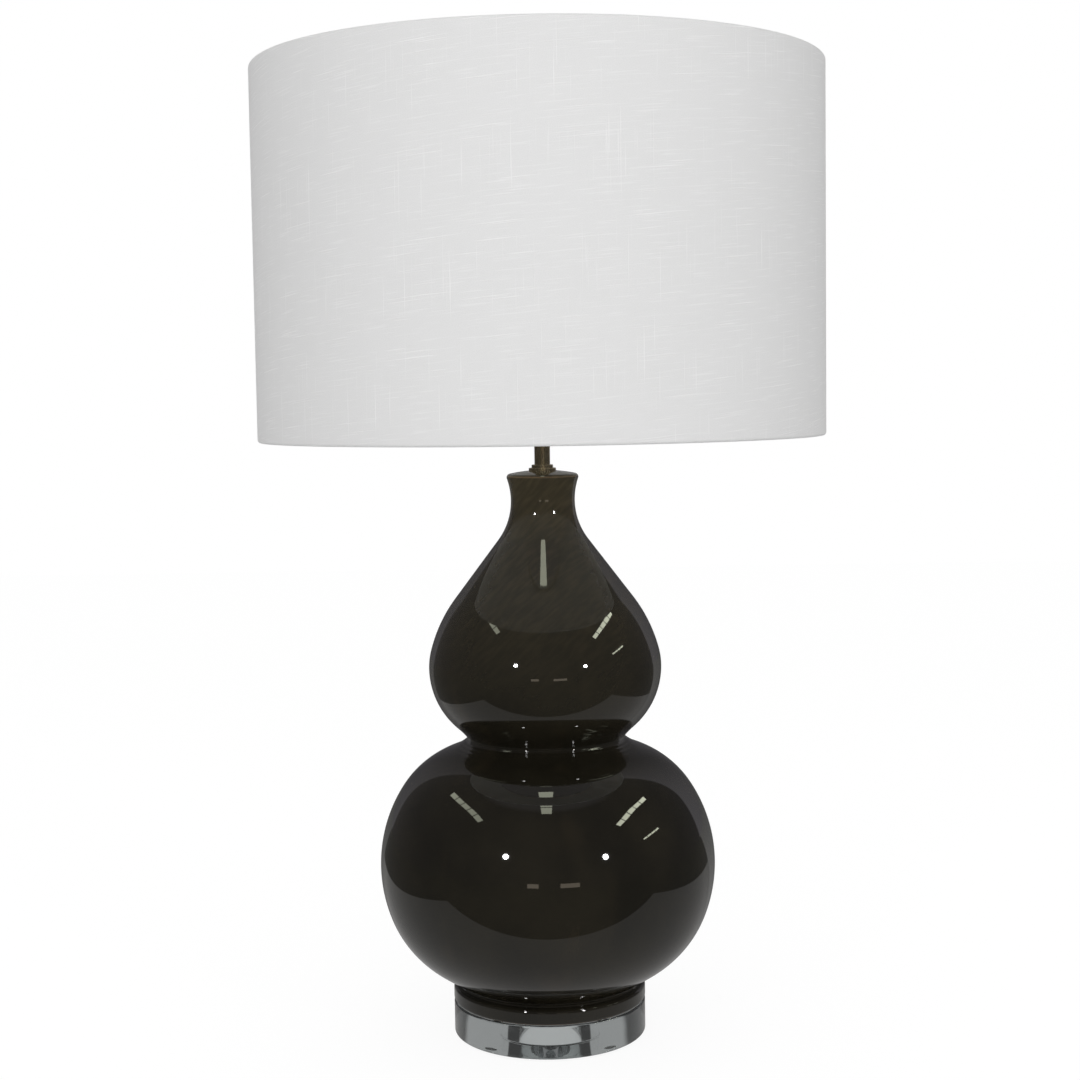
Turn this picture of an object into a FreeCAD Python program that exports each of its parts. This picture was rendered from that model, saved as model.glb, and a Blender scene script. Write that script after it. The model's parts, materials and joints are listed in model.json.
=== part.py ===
"""Table lamp: a glazed ceramic double gourd on a clear crystal foot, with a linen drum shade.

Millimetres, +Z up. The origin is on the lamp's axis, on the surface that the lamp stands on, and
-Y is the front. Every turned piece shares the axis. Threads are left out: a screwed piece is a plain
shaft in a plain hole with a small gap.
"""

import FreeCAD, Part
import math
import os

from FreeCAD import Rotation, Vector

# --------------------------------------------------------------------------- driving sizes, mm
# Clear bumpers under the foot
pad_height = 1.5
pad_radius = 5.0
pad_edge = 0.6
pad_circle_radius = 60.0
pad_count = 4

# Crystal foot, with the pocket that holds the fixing nut
crystal_radius = 77.9
crystal_height = 27.0
crystal_top_bevel = 2.0
crystal_bottom_bevel = 1.0
pocket_radius = 25.5
pocket_depth = 21.0
gasket_height = 0.5
gasket_margin = 2.0

# Lamp pipe and the nut, washers and clearances on it
rod_radius = 5.0
rod_bore_radius = 3.3
rod_tail = 3.0
rod_slot_width = 5.0
rod_slot_height = 24.0
thread_gap = 0.05
rod_gap = 0.25
nut_across_flats = 17.0
nut_height = 6.0
nut_corner_drop = 1.2
lock_washer_height = 1.8
lock_washer_width = 3.0
lock_washer_split = 1.2
base_washer_radius = 19.0
base_washer_height = 2.0

# Ceramic gourd. A rise is a height above the mark before it, a round is an arc's radius, and a
# turn is the angle of the outward normal, in degrees, where an arc ends.
wall = 6.0
foot_radius = 78.0
foot_height = 12.8
foot_edge_round = 2.5
foot_shoulder_round = 3.5
foot_ring_width = 14.0
foot_recess = 2.0
foot_cavity_inset = 12.0
floor_thickness = 8.0
groove_round = 1.2
belly_radius = 135.45
belly_rise = 112.0
belly_low_rounds = (115.05, 89.4)
belly_low_turns = (-21.7, -56.7)
belly_low_straight = 23.3
belly_high_rounds = (112.97, 76.65)
belly_high_turns = (33.8, 70.0)
belly_waist_round = 45.9
belly_waist_turn = 50.0
waist_radius = 64.0
waist_rise = 102.5
waist_crease_round = 3.0
bulb_waist_round = 62.2
bulb_waist_turn = -39.7
bulb_radius = 93.6
bulb_rise = 57.0
bulb_low_rounds = (63.86, 63.03)
bulb_low_turns = (-11.2, -49.1)
bulb_high_rounds = (55.28, 118.28)
bulb_high_turns = (14.5, 37.1)
bulb_high_straight = 58.7
neck_flare_round = 52.4
neck_radius = 25.65
neck_rise = 134.0
lip_radius = 28.75
lip_round = 3.0
lip_rise = 18.5
lip_top_turn = 78.0
crown_seat_radius = 11.6
crown_thickness = 9.0
crown_cavity_round = 6.0

# Cord bushing in the back of the belly
cord_turn = -40.0
cord_radius = 3.5
bushing_body_radius = 4.6
bushing_gap = 0.15
bushing_flange_radius = 8.0
bushing_flange_height = 2.0
bushing_nose_height = 8.0
bushing_nose_base = 6.2
bushing_nose_tip = 5.2
bushing_throat_relief = 0.25
bushing_snap_radius = 5.5
bushing_snap_height = 1.6
bushing_snap_gap = 0.7

# Check ring and neck tube
check_ring_radius = 10.9
check_ring_height = 2.2
check_step_radius = 8.6
check_step_height = 2.6
check_edge = 0.5
neck_tube_radius = 6.25
neck_tube_length = 57.9

# Harp saddle
saddle_thickness = 2.0
saddle_width = 12.0
saddle_half_span = 25.0
saddle_bend = 3.0
saddle_arm_height = 13.0
tongue_height = 9.0
tongue_width = 5.0

# Harp, its ferrules and its swivel
harp_height = 240.0
harp_half_width = 54.0
harp_wire_radius = 2.0
harp_shoulder_turn = 50.0
harp_side_turn = 18.0
ferrule_radius = 4.5
ferrule_length = 15.0
ferrule_collar = 3.5
ferrule_bore_radius = 3.0
ferrule_edge = 0.6
ferrule_travel = 12.0
ferrule_spare = 2.0
running_gap = 0.08
eye_radius = 7.5
swivel_neck_radius = 2.6
swivel_head_radius = 4.6
swivel_head_height = 1.6
swivel_head_gap = 0.2
eye_proud = 0.1
swivel_flange_radius = 6.8
swivel_flange_height = 2.4
stud_radius = 3.1
stud_length = 13.0
stud_bevel = 0.8

# Lampholder
cap_boss_radius = 7.0
cap_boss_height = 8.5
cap_shoulder_height = 7.0
cap_rim_height = 6.0
sheet_thickness = 0.6
set_screw_radius = 1.9
set_screw_length = 3.2
shell_radius = 16.5
shell_length = 42.0
shell_gap = 0.1
shell_lip = 0.8
liner_thickness = 0.7
liner_setback = 1.2
body_radius = 12.4
body_height = 18.0
body_foot_height = 3.0
body_lift = 1.0
flat_inset = 0.9
terminal_radius = 3.0
terminal_height = 1.7
terminal_slot = 0.7
screw_shell_thickness = 0.4
screw_shell_height = 20.0
contact_radius = 4.0
contact_height = 3.0

# Turn switch
switch_rise = 1.5
shaft_radius = 2.3
shaft_length = 12.0
switch_bushing_radius = 4.0
switch_flange_radius = 4.8
switch_flange_height = 1.2
knob_radius = 5.6
knob_length = 13.0
knob_gap = 0.4
knob_edge = 0.8
knob_flutes = 12
flute_radius = 0.9

# Shade, with its wire frame
shade_radius = 225.0
shade_height = 290.5
spider_recess = 12.4
linen_thickness = 0.6
liner_sheet = 0.5
laminate_gap = 0.05
hem_roll = 2.4
hem_gap = 0.4
hem_depth = 8.0
hub_radius = 14.0
hub_thickness = 1.6
hub_gap = 0.3
arm_radius = 1.5
arm_count = 3
arm_start = 9.5
arm_end_turn = 40.0
arm_bend = 8.0
arm_first_angle = 90.0
notch_width = 6.0

# Finial
finial_base_radius = 7.5
finial_base_height = 2.4
finial_base_crown = 0.2
finial_neck_radius = 5.4
finial_neck_height = 4.2
finial_waist_radius = 4.6
finial_ball_radius = 9.0
finial_hole_gap = 0.15
finial_hole_spare = 0.8

# Lamp bulb, 60 mm, with a 26 mm screw cap
cap_screw_radius = 13.1
cap_screw_height = 21.0
bulb_tip_radius = 3.6
bulb_tip_height = 1.4
bulb_cone_height = 4.0
bulb_cone_radius = 7.0
bulb_cone_top_radius = 11.2
bulb_cap_bevel = 1.2
housing_base_radius = 13.8
housing_collar = 3.0
housing_height = 34.0
housing_top_radius = 26.5
housing_hollow = 0.08
globe_radius = 30.0
globe_length = 46.0

# --------------------------------------------------------------------------- levels that follow
crystal_bottom = pad_height
crystal_top = crystal_bottom + crystal_height
foot_bottom = crystal_top + gasket_height
web_bottom = crystal_bottom + pocket_depth
base_washer_bottom = web_bottom - base_washer_height
lock_washer_bottom = base_washer_bottom - lock_washer_height
nut_bottom = lock_washer_bottom - nut_height
rod_bottom = nut_bottom - rod_tail
rod_hole_radius = rod_radius + rod_gap
foot_ring_inner = foot_radius - foot_ring_width

QUARTER = math.tan(math.radians(22.5))
HALF = 1.0
LEAST_TURN = 0.3
WIDEST_TURN = 88.0
HALVINGS = 50
AXIS = Vector(0, 0, 1)
ORIGIN = Vector(0, 0, 0)


# --------------------------------------------------------------------------- drawing helpers
def normal(angle):
    """Unit vector at an angle in the (r, z) half-plane: 0 points away from the axis, 90 up."""
    return math.cos(math.radians(angle)), math.sin(math.radians(angle))


def point(r, z):
    return Vector(r, 0, z)


def trace(start, steps, way, inset=0.0):
    """Edges of a smooth chain that starts with its outward normal at 0 degrees.

    A step is ("arc", radius, angle), which turns the normal to that angle, convex for a positive
    radius and hollow for a negative one, or ("line", length). way is 1 upwards and -1 downwards.
    inset offsets the whole chain inwards by a wall. It returns the edges and the end point.
    """
    angle = 0.0
    n = normal(angle)
    at = (start[0] - inset * n[0], start[1] - inset * n[1])
    edges = []
    for step in steps:
        if step[0] == "line":
            n = normal(angle)
            end = (at[0] - way * step[1] * n[1], at[1] + way * step[1] * n[0])
            edges.append(Part.makeLine(point(*at), point(*end)))
        else:
            radius = step[1] - inset
            n0, nm, n1 = normal(angle), normal((angle + step[2]) / 2), normal(step[2])
            centre = (at[0] - radius * n0[0], at[1] - radius * n0[1])
            middle = (centre[0] + radius * nm[0], centre[1] + radius * nm[1])
            end = (centre[0] + radius * n1[0], centre[1] + radius * n1[1])
            edges.append(Part.Arc(point(*at), point(*middle), point(*end)).toShape())
            angle = step[2]
        at = end
    return edges, at


def reach(steps, turn, way):
    """(r, z) from a chain's start to its end, with its inner turns multiplied by turn."""
    r, z = 0.0, 0.0
    n = normal(0.0)
    for step in steps:
        if step[0] == "line":
            r -= way * step[1] * n[1]
            z += way * step[1] * n[0]
        else:
            m = normal(step[2] if step is steps[-1] else step[2] * turn)
            r += step[1] * (m[0] - n[0])
            z += step[1] * (m[1] - n[1])
            n = m
    return r, z


def fitted(start, end, steps, way):
    """Steps of a flank that starts at a swelling and keeps its own shape on the way to end.

    The whole chain is scaled, and its inner turns are opened or closed together, until it ends
    there. The last turn stays.
    """
    need = (end[0] - start[0], end[1] - start[1])

    def miss(turn):
        r, z = reach(steps, turn, way)
        return r * need[1] - z * need[0]

    least = LEAST_TURN
    most = WIDEST_TURN / max(abs(step[2]) for step in steps[:-1] if step[0] == "arc")
    for _ in range(HALVINGS):
        turn = (least + most) / 2
        if miss(turn) * miss(least) > 0:
            least = turn
        else:
            most = turn
    size = math.hypot(*need) / math.hypot(*reach(steps, turn, way))
    chain = []
    for step in steps:
        if step[0] == "line":
            chain.append(("line", step[1] * size))
        else:
            angle = step[2] if step is steps[-1] else step[2] * turn
            chain.append(("arc", step[1] * size, angle))
    return chain


def outline(path):
    """Closed wire through (r, z) points; a third value is the bulge of the arc to that point."""
    edges = []
    previous = path[-1]
    for corner in path:
        a, b = point(*previous[:2]), point(*corner[:2])
        if len(corner) == 3:
            chord = b - a
            side = Vector(chord.z, 0, -chord.x)
            edges.append(Part.Arc(a, (a + b) * 0.5 + side * (corner[2] / 2), b).toShape())
        else:
            edges.append(Part.makeLine(a, b))
        previous = corner
    return Part.Wire(edges)


def turned(path):
    """Solid of revolution of a closed outline."""
    return Part.Face(outline(path)).revolve(ORIGIN, AXIS, 360)


def revolved(edges):
    return Part.Face(Part.Wire(Part.__sortEdges__(edges))).revolve(ORIGIN, AXIS, 360)


def ring(inner, outer, bottom, height):
    """Flat ring or tube."""
    top = bottom + height
    return turned([(inner, bottom), (outer, bottom), (outer, top), (inner, top)])


def rod(radius, bottom, height):
    return Part.makeCylinder(radius, height, Vector(0, 0, bottom))


def block(low, high):
    return Part.makeBox(high[0] - low[0], high[1] - low[1], high[2] - low[2], Vector(*low))


def aimed(shape, at, direction):
    """Moves a shape drawn about +Z from the origin to a place, with +Z turned to a direction."""
    shape = shape.copy()
    shape.Placement = FreeCAD.Placement(at, Rotation(AXIS, direction))
    return shape


def wire_along(edges, radius):
    """Round wire along smooth edges, given in order."""
    path = Part.Wire(edges)
    first = edges[0]
    start = path.OrderedVertexes[0].Point
    parameter = first.Curve.parameter(start)
    direction = first.Curve.tangent(parameter)[0]
    circle = Part.Wire([Part.makeCircle(radius, start, direction)])
    return path.makePipeShell([circle], True, True)


def around(shape, count, first_angle):
    """Equal copies around the axis."""
    copies = []
    for i in range(count):
        copy = shape.copy()
        copy.rotate(ORIGIN, AXIS, first_angle + 360.0 * i / count)
        copies.append(copy)
    return copies


# --------------------------------------------------------------------------- foot and fixing
def foot_pads():
    pad = turned(
        [
            (0, 0),
            (pad_radius - pad_edge, 0),
            (pad_radius, pad_edge),
            (pad_radius, pad_height),
            (0, pad_height),
        ]
    )
    pad.translate(Vector(pad_circle_radius, 0, 0))
    return Part.makeCompound(around(pad, pad_count, 180.0 / pad_count))


def crystal_base():
    return turned(
        [
            (rod_hole_radius, crystal_top),
            (crystal_radius - crystal_top_bevel, crystal_top),
            (crystal_radius, crystal_top - crystal_top_bevel),
            (crystal_radius, crystal_bottom + crystal_bottom_bevel),
            (crystal_radius - crystal_bottom_bevel, crystal_bottom),
            (pocket_radius, crystal_bottom),
            (pocket_radius, web_bottom),
            (rod_hole_radius, web_bottom),
        ]
    )


def base_gasket():
    inner = foot_ring_inner + gasket_margin
    outer = foot_radius - foot_edge_round - gasket_margin
    return ring(inner, outer, crystal_top, gasket_height)


def base_washer():
    return ring(rod_hole_radius, base_washer_radius, base_washer_bottom, base_washer_height)


def lock_washer():
    """Split spring washer."""
    outer = rod_hole_radius + lock_washer_width
    washer = ring(rod_hole_radius, outer, lock_washer_bottom, lock_washer_height)
    split = block(
        (-lock_washer_split / 2, 0, lock_washer_bottom),
        (lock_washer_split / 2, outer, base_washer_bottom),
    )
    return washer.cut(split)


def base_nut():
    """Hexagon nut with its corners turned down on both faces."""
    corner = nut_across_flats / math.sqrt(3)
    corners = []
    for i in range(7):
        angle = math.radians(60 * i)
        corners.append(Vector(corner * math.cos(angle), corner * math.sin(angle), nut_bottom))
    hexagon = Part.Face(Part.makePolygon(corners)).extrude(Vector(0, 0, nut_height))
    turning = turned(
        [
            (0, nut_bottom),
            (nut_across_flats / 2, nut_bottom),
            (corner, nut_bottom + nut_corner_drop),
            (corner, lock_washer_bottom - nut_corner_drop),
            (nut_across_flats / 2, lock_washer_bottom),
            (0, lock_washer_bottom),
        ]
    )
    return hexagon.common(turning).cut(rod(rod_radius + thread_gap, nut_bottom, nut_height))


# --------------------------------------------------------------------------- ceramic gourd
def gourd_marks():
    """The places on the outside that the flanks join, as (r, z)."""
    belly = foot_bottom + belly_rise
    waist = belly + waist_rise
    bulb = waist + bulb_rise
    return {
        "shoulder": (foot_radius - foot_shoulder_round, foot_bottom + foot_height),
        "belly": (belly_radius, belly),
        "waist": (waist_radius, waist),
        "bulb": (bulb_radius, bulb),
        "neck": (neck_radius, bulb + neck_rise),
    }


def arcs(rounds, turns):
    """The two arcs next to a swelling's widest place."""
    return [("arc", rounds[0], turns[0]), ("arc", rounds[1], turns[1])]


def belly_low():
    """Steps from the belly's widest place down to the foot's shoulder."""
    mark = gourd_marks()
    steps = arcs(belly_low_rounds, belly_low_turns)
    steps += [("line", belly_low_straight), ("arc", -groove_round, 90.0)]
    return fitted(mark["belly"], mark["shoulder"], steps, -1)


def gourd_flanks(inset):
    """Edges of the four flanks, set in by inset, and the chain's low and high end points.

    The groove over the foot is only on the outside.
    """
    mark = gourd_marks()
    crease = ("arc", -waist_crease_round, 0.0)
    high = arcs(belly_high_rounds, belly_high_turns)
    high += [("arc", -belly_waist_round, belly_waist_turn), crease]
    under = arcs(bulb_low_rounds, bulb_low_turns)
    under += [("arc", -bulb_waist_round, bulb_waist_turn), crease]
    over = arcs(bulb_high_rounds, bulb_high_turns)
    over += [("line", bulb_high_straight), ("arc", -neck_flare_round, 0.0)]
    low = belly_low()[:-1] if inset else belly_low()
    high = fitted(mark["belly"], mark["waist"], high, 1)
    under = fitted(mark["bulb"], mark["waist"], under, -1)
    over = fitted(mark["bulb"], mark["neck"], over, 1)
    low_edges, low_end = trace(mark["belly"], low, -1, inset)
    high_edges, _ = trace(mark["belly"], high, 1, inset)
    under_edges, _ = trace(mark["bulb"], under, -1, inset)
    over_edges, over_end = trace(mark["bulb"], over, 1, inset)
    return low_edges + high_edges + under_edges + over_edges, low_end, over_end


def lip_sizes():
    """Radius and turn of the hollow between neck and lip, which touches both."""
    flare = lip_radius - neck_radius
    between = (lip_rise * lip_rise + flare * flare) / (2 * flare)
    return between - lip_round, -math.degrees(math.atan2(lip_rise, between - flare))


def crown_levels():
    """Radius and centre height of the domed top, and the height of the flat that carries the ring."""
    n = normal(lip_top_turn)
    edge_r = lip_radius - lip_round + lip_round * n[0]
    edge_z = gourd_marks()["neck"][1] + lip_rise + lip_round * n[1]
    dome = edge_r / n[0]
    centre = edge_z - dome * n[1]
    seat = centre + math.sqrt(dome * dome - crown_seat_radius * crown_seat_radius)
    return dome, centre, seat


dome_radius, dome_centre, crown_seat = crown_levels()


def gourd_outside():
    flanks, shoulder_top, neck = gourd_flanks(0.0)
    shoulder, top = shoulder_top
    shoulder_low = top - foot_shoulder_round
    q = normal(45.0)
    edges = list(flanks)
    shoulder_mid = point(
        shoulder + foot_shoulder_round * q[0], shoulder_low + foot_shoulder_round * q[1]
    )
    shoulder_end = point(foot_radius, shoulder_low)
    edges.append(Part.Arc(point(*shoulder_top), shoulder_mid, shoulder_end).toShape())
    edge_top = point(foot_radius, foot_bottom + foot_edge_round)
    edges.append(Part.makeLine(shoulder_end, edge_top))
    edge_mid = point(
        foot_radius - foot_edge_round * (1 - q[0]), foot_bottom + foot_edge_round * (1 - q[1])
    )
    edge_end = point(foot_radius - foot_edge_round, foot_bottom)
    edges.append(Part.Arc(edge_top, edge_mid, edge_end).toShape())
    ring_inner = point(foot_ring_inner, foot_bottom)
    recess_edge = point(foot_ring_inner, foot_bottom + foot_recess)
    recess_axis = point(0, foot_bottom + foot_recess)
    edges.append(Part.makeLine(edge_end, ring_inner))
    edges.append(Part.makeLine(ring_inner, recess_edge))
    edges.append(Part.makeLine(recess_edge, recess_axis))

    hollow, lip_turn = lip_sizes()
    lip_steps = [("arc", -hollow, lip_turn), ("arc", lip_round, lip_top_turn)]
    lip_edges, lip_end = trace(neck, lip_steps, 1)
    edges += lip_edges
    middle_r = (lip_end[0] + crown_seat_radius) / 2
    middle_z = dome_centre + math.sqrt(dome_radius**2 - middle_r**2)
    seat_edge = point(crown_seat_radius, crown_seat)
    edges.append(Part.Arc(point(*lip_end), point(middle_r, middle_z), seat_edge).toShape())
    edges.append(Part.makeLine(seat_edge, point(0, crown_seat)))
    edges.append(Part.makeLine(point(0, crown_seat), recess_axis))
    return revolved(edges)


def gourd_cavity():
    """The hollow inside, one wall in from the flanks."""
    edges, low, neck = gourd_flanks(wall)
    floor = foot_bottom + floor_thickness
    foot_corner = point(foot_radius - foot_cavity_inset, floor)
    ceiling = crown_seat - crown_thickness
    shaft_top = point(neck[0], ceiling - crown_cavity_round)
    crown = point(neck[0] - crown_cavity_round, ceiling)
    q = normal(45.0)
    crown_mid = point(
        crown.x + crown_cavity_round * q[0], shaft_top.z + crown_cavity_round * q[1]
    )
    edges += [
        Part.makeLine(point(*low), foot_corner),
        Part.makeLine(foot_corner, point(0, floor)),
        Part.makeLine(point(*neck), shaft_top),
        Part.Arc(shaft_top, crown_mid, crown).toShape(),
        Part.makeLine(crown, point(0, ceiling)),
        Part.makeLine(point(0, ceiling), point(0, floor)),
    ]
    return revolved(edges)


def cord_place():
    """Place and outward direction of the cord bushing, square to the back of the belly."""
    widest, next_arc = belly_low()[:2]
    _, at = trace(gourd_marks()["belly"], [widest, ("arc", next_arc[1], cord_turn)], -1)
    n = normal(cord_turn)
    return Vector(0, at[0], at[1]), Vector(0, n[0], n[1])


def gourd_body():
    at, direction = cord_place()
    hole = rod(bushing_body_radius + bushing_gap, -2 * wall, 3 * wall)
    rod_hole = rod(rod_hole_radius, foot_bottom, crown_seat - foot_bottom)
    return gourd_outside().cut(gourd_cavity()).cut(rod_hole).cut(aimed(hole, at, direction))


def cord_bushing():
    """Snap-in bushing: flange and nose outside, a snap ring inside, and the cord's hole."""
    throat = cord_radius + bushing_throat_relief
    snap_top = -wall - bushing_snap_gap
    inner_end = snap_top - bushing_snap_height
    nose_top = bushing_flange_height + bushing_nose_height
    shape = turned(
        [
            (throat, inner_end),
            (bushing_body_radius, inner_end),
            (bushing_snap_radius, inner_end + bushing_snap_height / 2),
            (bushing_snap_radius, snap_top),
            (bushing_body_radius, snap_top),
            (bushing_body_radius, 0),
            (bushing_flange_radius, 0),
            (bushing_flange_radius, bushing_flange_height / 2),
            (bushing_flange_radius - bushing_flange_height / 2, bushing_flange_height),
            (bushing_nose_base, bushing_flange_height),
            (bushing_nose_tip, nose_top),
            (cord_radius, nose_top),
            (cord_radius, bushing_flange_height),
            (throat, bushing_flange_height),
        ]
    )
    at, direction = cord_place()
    return aimed(shape, at, direction)


# --------------------------------------------------------------------------- neck
check_step_bottom = crown_seat + check_ring_height
neck_bottom = check_step_bottom + check_step_height
saddle_bottom = neck_bottom + neck_tube_length
saddle_top = saddle_bottom + saddle_thickness
arm_shoulder = saddle_bottom + saddle_arm_height
tongue_top = arm_shoulder + tongue_height
rod_top = saddle_top + cap_boss_height


def check_ring():
    """Ring in two steps that covers the hole in the ceramic and carries the tube."""
    return turned(
        [
            (rod_hole_radius, crown_seat),
            (check_ring_radius, crown_seat),
            (check_ring_radius, check_step_bottom - check_edge),
            (check_ring_radius - check_edge, check_step_bottom, QUARTER),
            (check_step_radius, check_step_bottom),
            (check_step_radius, neck_bottom - check_edge),
            (check_step_radius - check_edge, neck_bottom, QUARTER),
            (rod_hole_radius, neck_bottom),
        ]
    )


def neck_tube():
    return ring(rod_hole_radius, neck_tube_radius, neck_bottom, neck_tube_length)


def lamp_rod():
    """Threaded pipe that ties the lamp together, open at the back where the cord comes in."""
    at, _ = cord_place()
    pipe = ring(rod_bore_radius, rod_radius, rod_bottom, rod_top - rod_bottom)
    slot = block(
        (-rod_slot_width / 2, 0, at.z - rod_slot_height / 2),
        (rod_slot_width / 2, rod_radius, at.z + rod_slot_height / 2),
    )
    return pipe.cut(slot)


def harp_saddle():
    """Strap bent up at both ends, each end narrowed to a tongue for the harp."""
    inner = saddle_half_span - saddle_thickness / 2
    outer = inner + saddle_thickness
    bend = saddle_bend + saddle_thickness
    strap = outline(
        [
            (outer - bend, saddle_bottom),
            (outer, saddle_bottom + bend, QUARTER),
            (outer, tongue_top),
            (inner, tongue_top),
            (inner, saddle_top + saddle_bend),
            (inner - saddle_bend, saddle_top, -QUARTER),
            (-inner + saddle_bend, saddle_top),
            (-inner, saddle_top + saddle_bend, -QUARTER),
            (-inner, tongue_top),
            (-outer, tongue_top),
            (-outer, saddle_bottom + bend),
            (-outer + bend, saddle_bottom, QUARTER),
        ]
    )
    shape = Part.Face(strap).extrude(Vector(0, saddle_width, 0))
    shape.translate(Vector(0, -saddle_width / 2, 0))
    for side in (-1, 1):
        cheek = block(
            (-outer, tongue_width / 2, arm_shoulder), (outer, saddle_width / 2, tongue_top)
        )
        if side < 0:
            cheek.translate(Vector(0, -(tongue_width + saddle_width) / 2, 0))
        shape = shape.cut(cheek)
    return shape.cut(rod(rod_hole_radius, saddle_bottom, saddle_thickness))


# --------------------------------------------------------------------------- harp
swivel_seat = saddle_bottom + harp_height
eye_top = swivel_seat - swivel_flange_height
harp_wire_top = eye_top - eye_proud - harp_wire_radius
eye_bottom = harp_wire_top - harp_wire_radius - eye_proud
harp_leg = ferrule_length + ferrule_travel + ferrule_spare - tongue_height


def harp_side():
    """Edges of one side of the loop, from the top of a leg's tongue to the eye."""
    b = math.radians(harp_shoulder_turn)
    g = math.radians(harp_side_turn)
    shoulder = (harp_half_width - saddle_half_span) / (1 - math.cos(b)) / 2
    leg_top = tongue_top + harp_leg
    widest = leg_top + 2 * shoulder * math.sin(b)
    need_x = harp_half_width
    need_z = harp_wire_top - widest
    scale = (1 - math.cos(g)) * (1 - math.sin(g)) - math.cos(g) * math.sin(g)
    side = (need_x * (1 - math.sin(g)) - math.cos(g) * need_z) / scale
    top = ((1 - math.cos(g)) * need_z - math.sin(g) * need_x) / scale

    edges = []
    at = point(saddle_half_span, tongue_top)
    heading = 90.0

    def run(length):
        nonlocal at
        d = normal(heading)
        end = point(at.x + length * d[0], at.z + length * d[1])
        edges.append(Part.makeLine(at, end))
        at = end

    def bend(radius, to_heading):
        nonlocal at, heading
        turn = 1 if to_heading > heading else -1
        c = normal(heading + 90 * turn)
        centre = point(at.x + radius * c[0], at.z + radius * c[1])
        m = normal((heading + to_heading) / 2 - 90 * turn)
        e = normal(to_heading - 90 * turn)
        middle = point(centre.x + radius * m[0], centre.z + radius * m[1])
        end = point(centre.x + radius * e[0], centre.z + radius * e[1])
        edges.append(Part.Arc(at, middle, end).toShape())
        at = end
        heading = to_heading

    run(harp_leg)
    bend(shoulder, 90.0 - harp_shoulder_turn)
    bend(shoulder, 90.0)
    bend(side, 90.0 + harp_side_turn)
    bend(top, 180.0)
    return edges


def harp():
    """Sprung wire loop with a flat eye at the top for the swivel."""
    right = wire_along(harp_side(), harp_wire_radius)
    left = right.mirror(ORIGIN, Vector(1, 0, 0))
    eye = rod(eye_radius, eye_bottom, eye_top - eye_bottom)
    hole = rod(swivel_neck_radius + running_gap, eye_bottom, eye_top - eye_bottom)
    return right.fuse(left).fuse(eye).cut(hole)


def harp_ferrule(side):
    """Sleeve that slides down over the joint of harp and saddle."""
    top = arm_shoulder + ferrule_length
    collar = top - ferrule_collar
    neck = harp_wire_radius + running_gap
    shape = turned(
        [
            (ferrule_bore_radius, arm_shoulder),
            (ferrule_radius - ferrule_edge, arm_shoulder),
            (ferrule_radius, arm_shoulder + ferrule_edge),
            (ferrule_radius, top - ferrule_edge),
            (ferrule_radius - ferrule_edge, top),
            (neck, top),
            (neck, collar),
            (ferrule_bore_radius, collar),
        ]
    )
    shape.translate(Vector(side * saddle_half_span, 0, 0))
    return shape


def harp_swivel():
    """Riveted stud that turns in the eye and carries the shade."""
    head_top = eye_bottom - swivel_head_gap
    head_bottom = head_top - swivel_head_height
    stud_top = swivel_seat + stud_length
    return turned(
        [
            (0, head_bottom),
            (swivel_head_radius - swivel_head_height / 2, head_bottom),
            (swivel_head_radius, head_top - swivel_head_height / 2),
            (swivel_head_radius, head_top),
            (swivel_neck_radius, head_top),
            (swivel_neck_radius, eye_top),
            (swivel_flange_radius, eye_top),
            (swivel_flange_radius, swivel_seat),
            (stud_radius, swivel_seat),
            (stud_radius, stud_top - stud_bevel),
            (stud_radius - stud_bevel, stud_top),
            (0, stud_top),
        ]
    )


# --------------------------------------------------------------------------- shade
hub_top = swivel_seat + hub_thickness
shade_top = hub_top + spider_recess
shade_bottom = shade_top - shade_height
ring_radius = shade_radius - hem_roll
ring_wire_radius = hem_roll - linen_thickness - hem_gap
top_ring_z = shade_top - hem_roll
bottom_ring_z = shade_bottom + hem_roll


def shade_cover():
    """Linen drum, rolled over a wire ring at the top and the bottom, open at both ends."""
    outer = shade_radius
    inner = outer - linen_thickness
    roll = outer - 2 * hem_roll
    fold = roll + linen_thickness
    top, low = top_ring_z, bottom_ring_z
    drum = turned(
        [
            (outer, low, HALF),
            (outer, top),
            (roll, top, HALF),
            (roll, top - hem_depth),
            (fold, top - hem_depth),
            (fold, top),
            (inner, top, -HALF),
            (inner, low),
            (fold, low, -HALF),
            (fold, low + hem_depth),
            (roll, low + hem_depth),
            (roll, low),
        ]
    )
    notch = block(
        (roll - hem_roll, -notch_width / 2, top - hem_depth),
        (ring_radius - linen_thickness, notch_width / 2, top + linen_thickness * 2),
    )
    for cut in around(notch, arm_count, arm_first_angle):
        drum = drum.cut(cut)
    return drum


def shade_liner():
    """Stiff translucent sheet that the linen is bonded to."""
    outer = shade_radius - linen_thickness - laminate_gap
    bottom = bottom_ring_z + hem_roll
    return ring(outer - liner_sheet, outer, bottom, top_ring_z - hem_roll - bottom)


def shade_ring(level):
    return Part.makeTorus(ring_radius, ring_wire_radius, Vector(0, 0, level))


def spider_hub():
    return ring(stud_radius + hub_gap, hub_radius, swivel_seat, hub_thickness)


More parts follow.
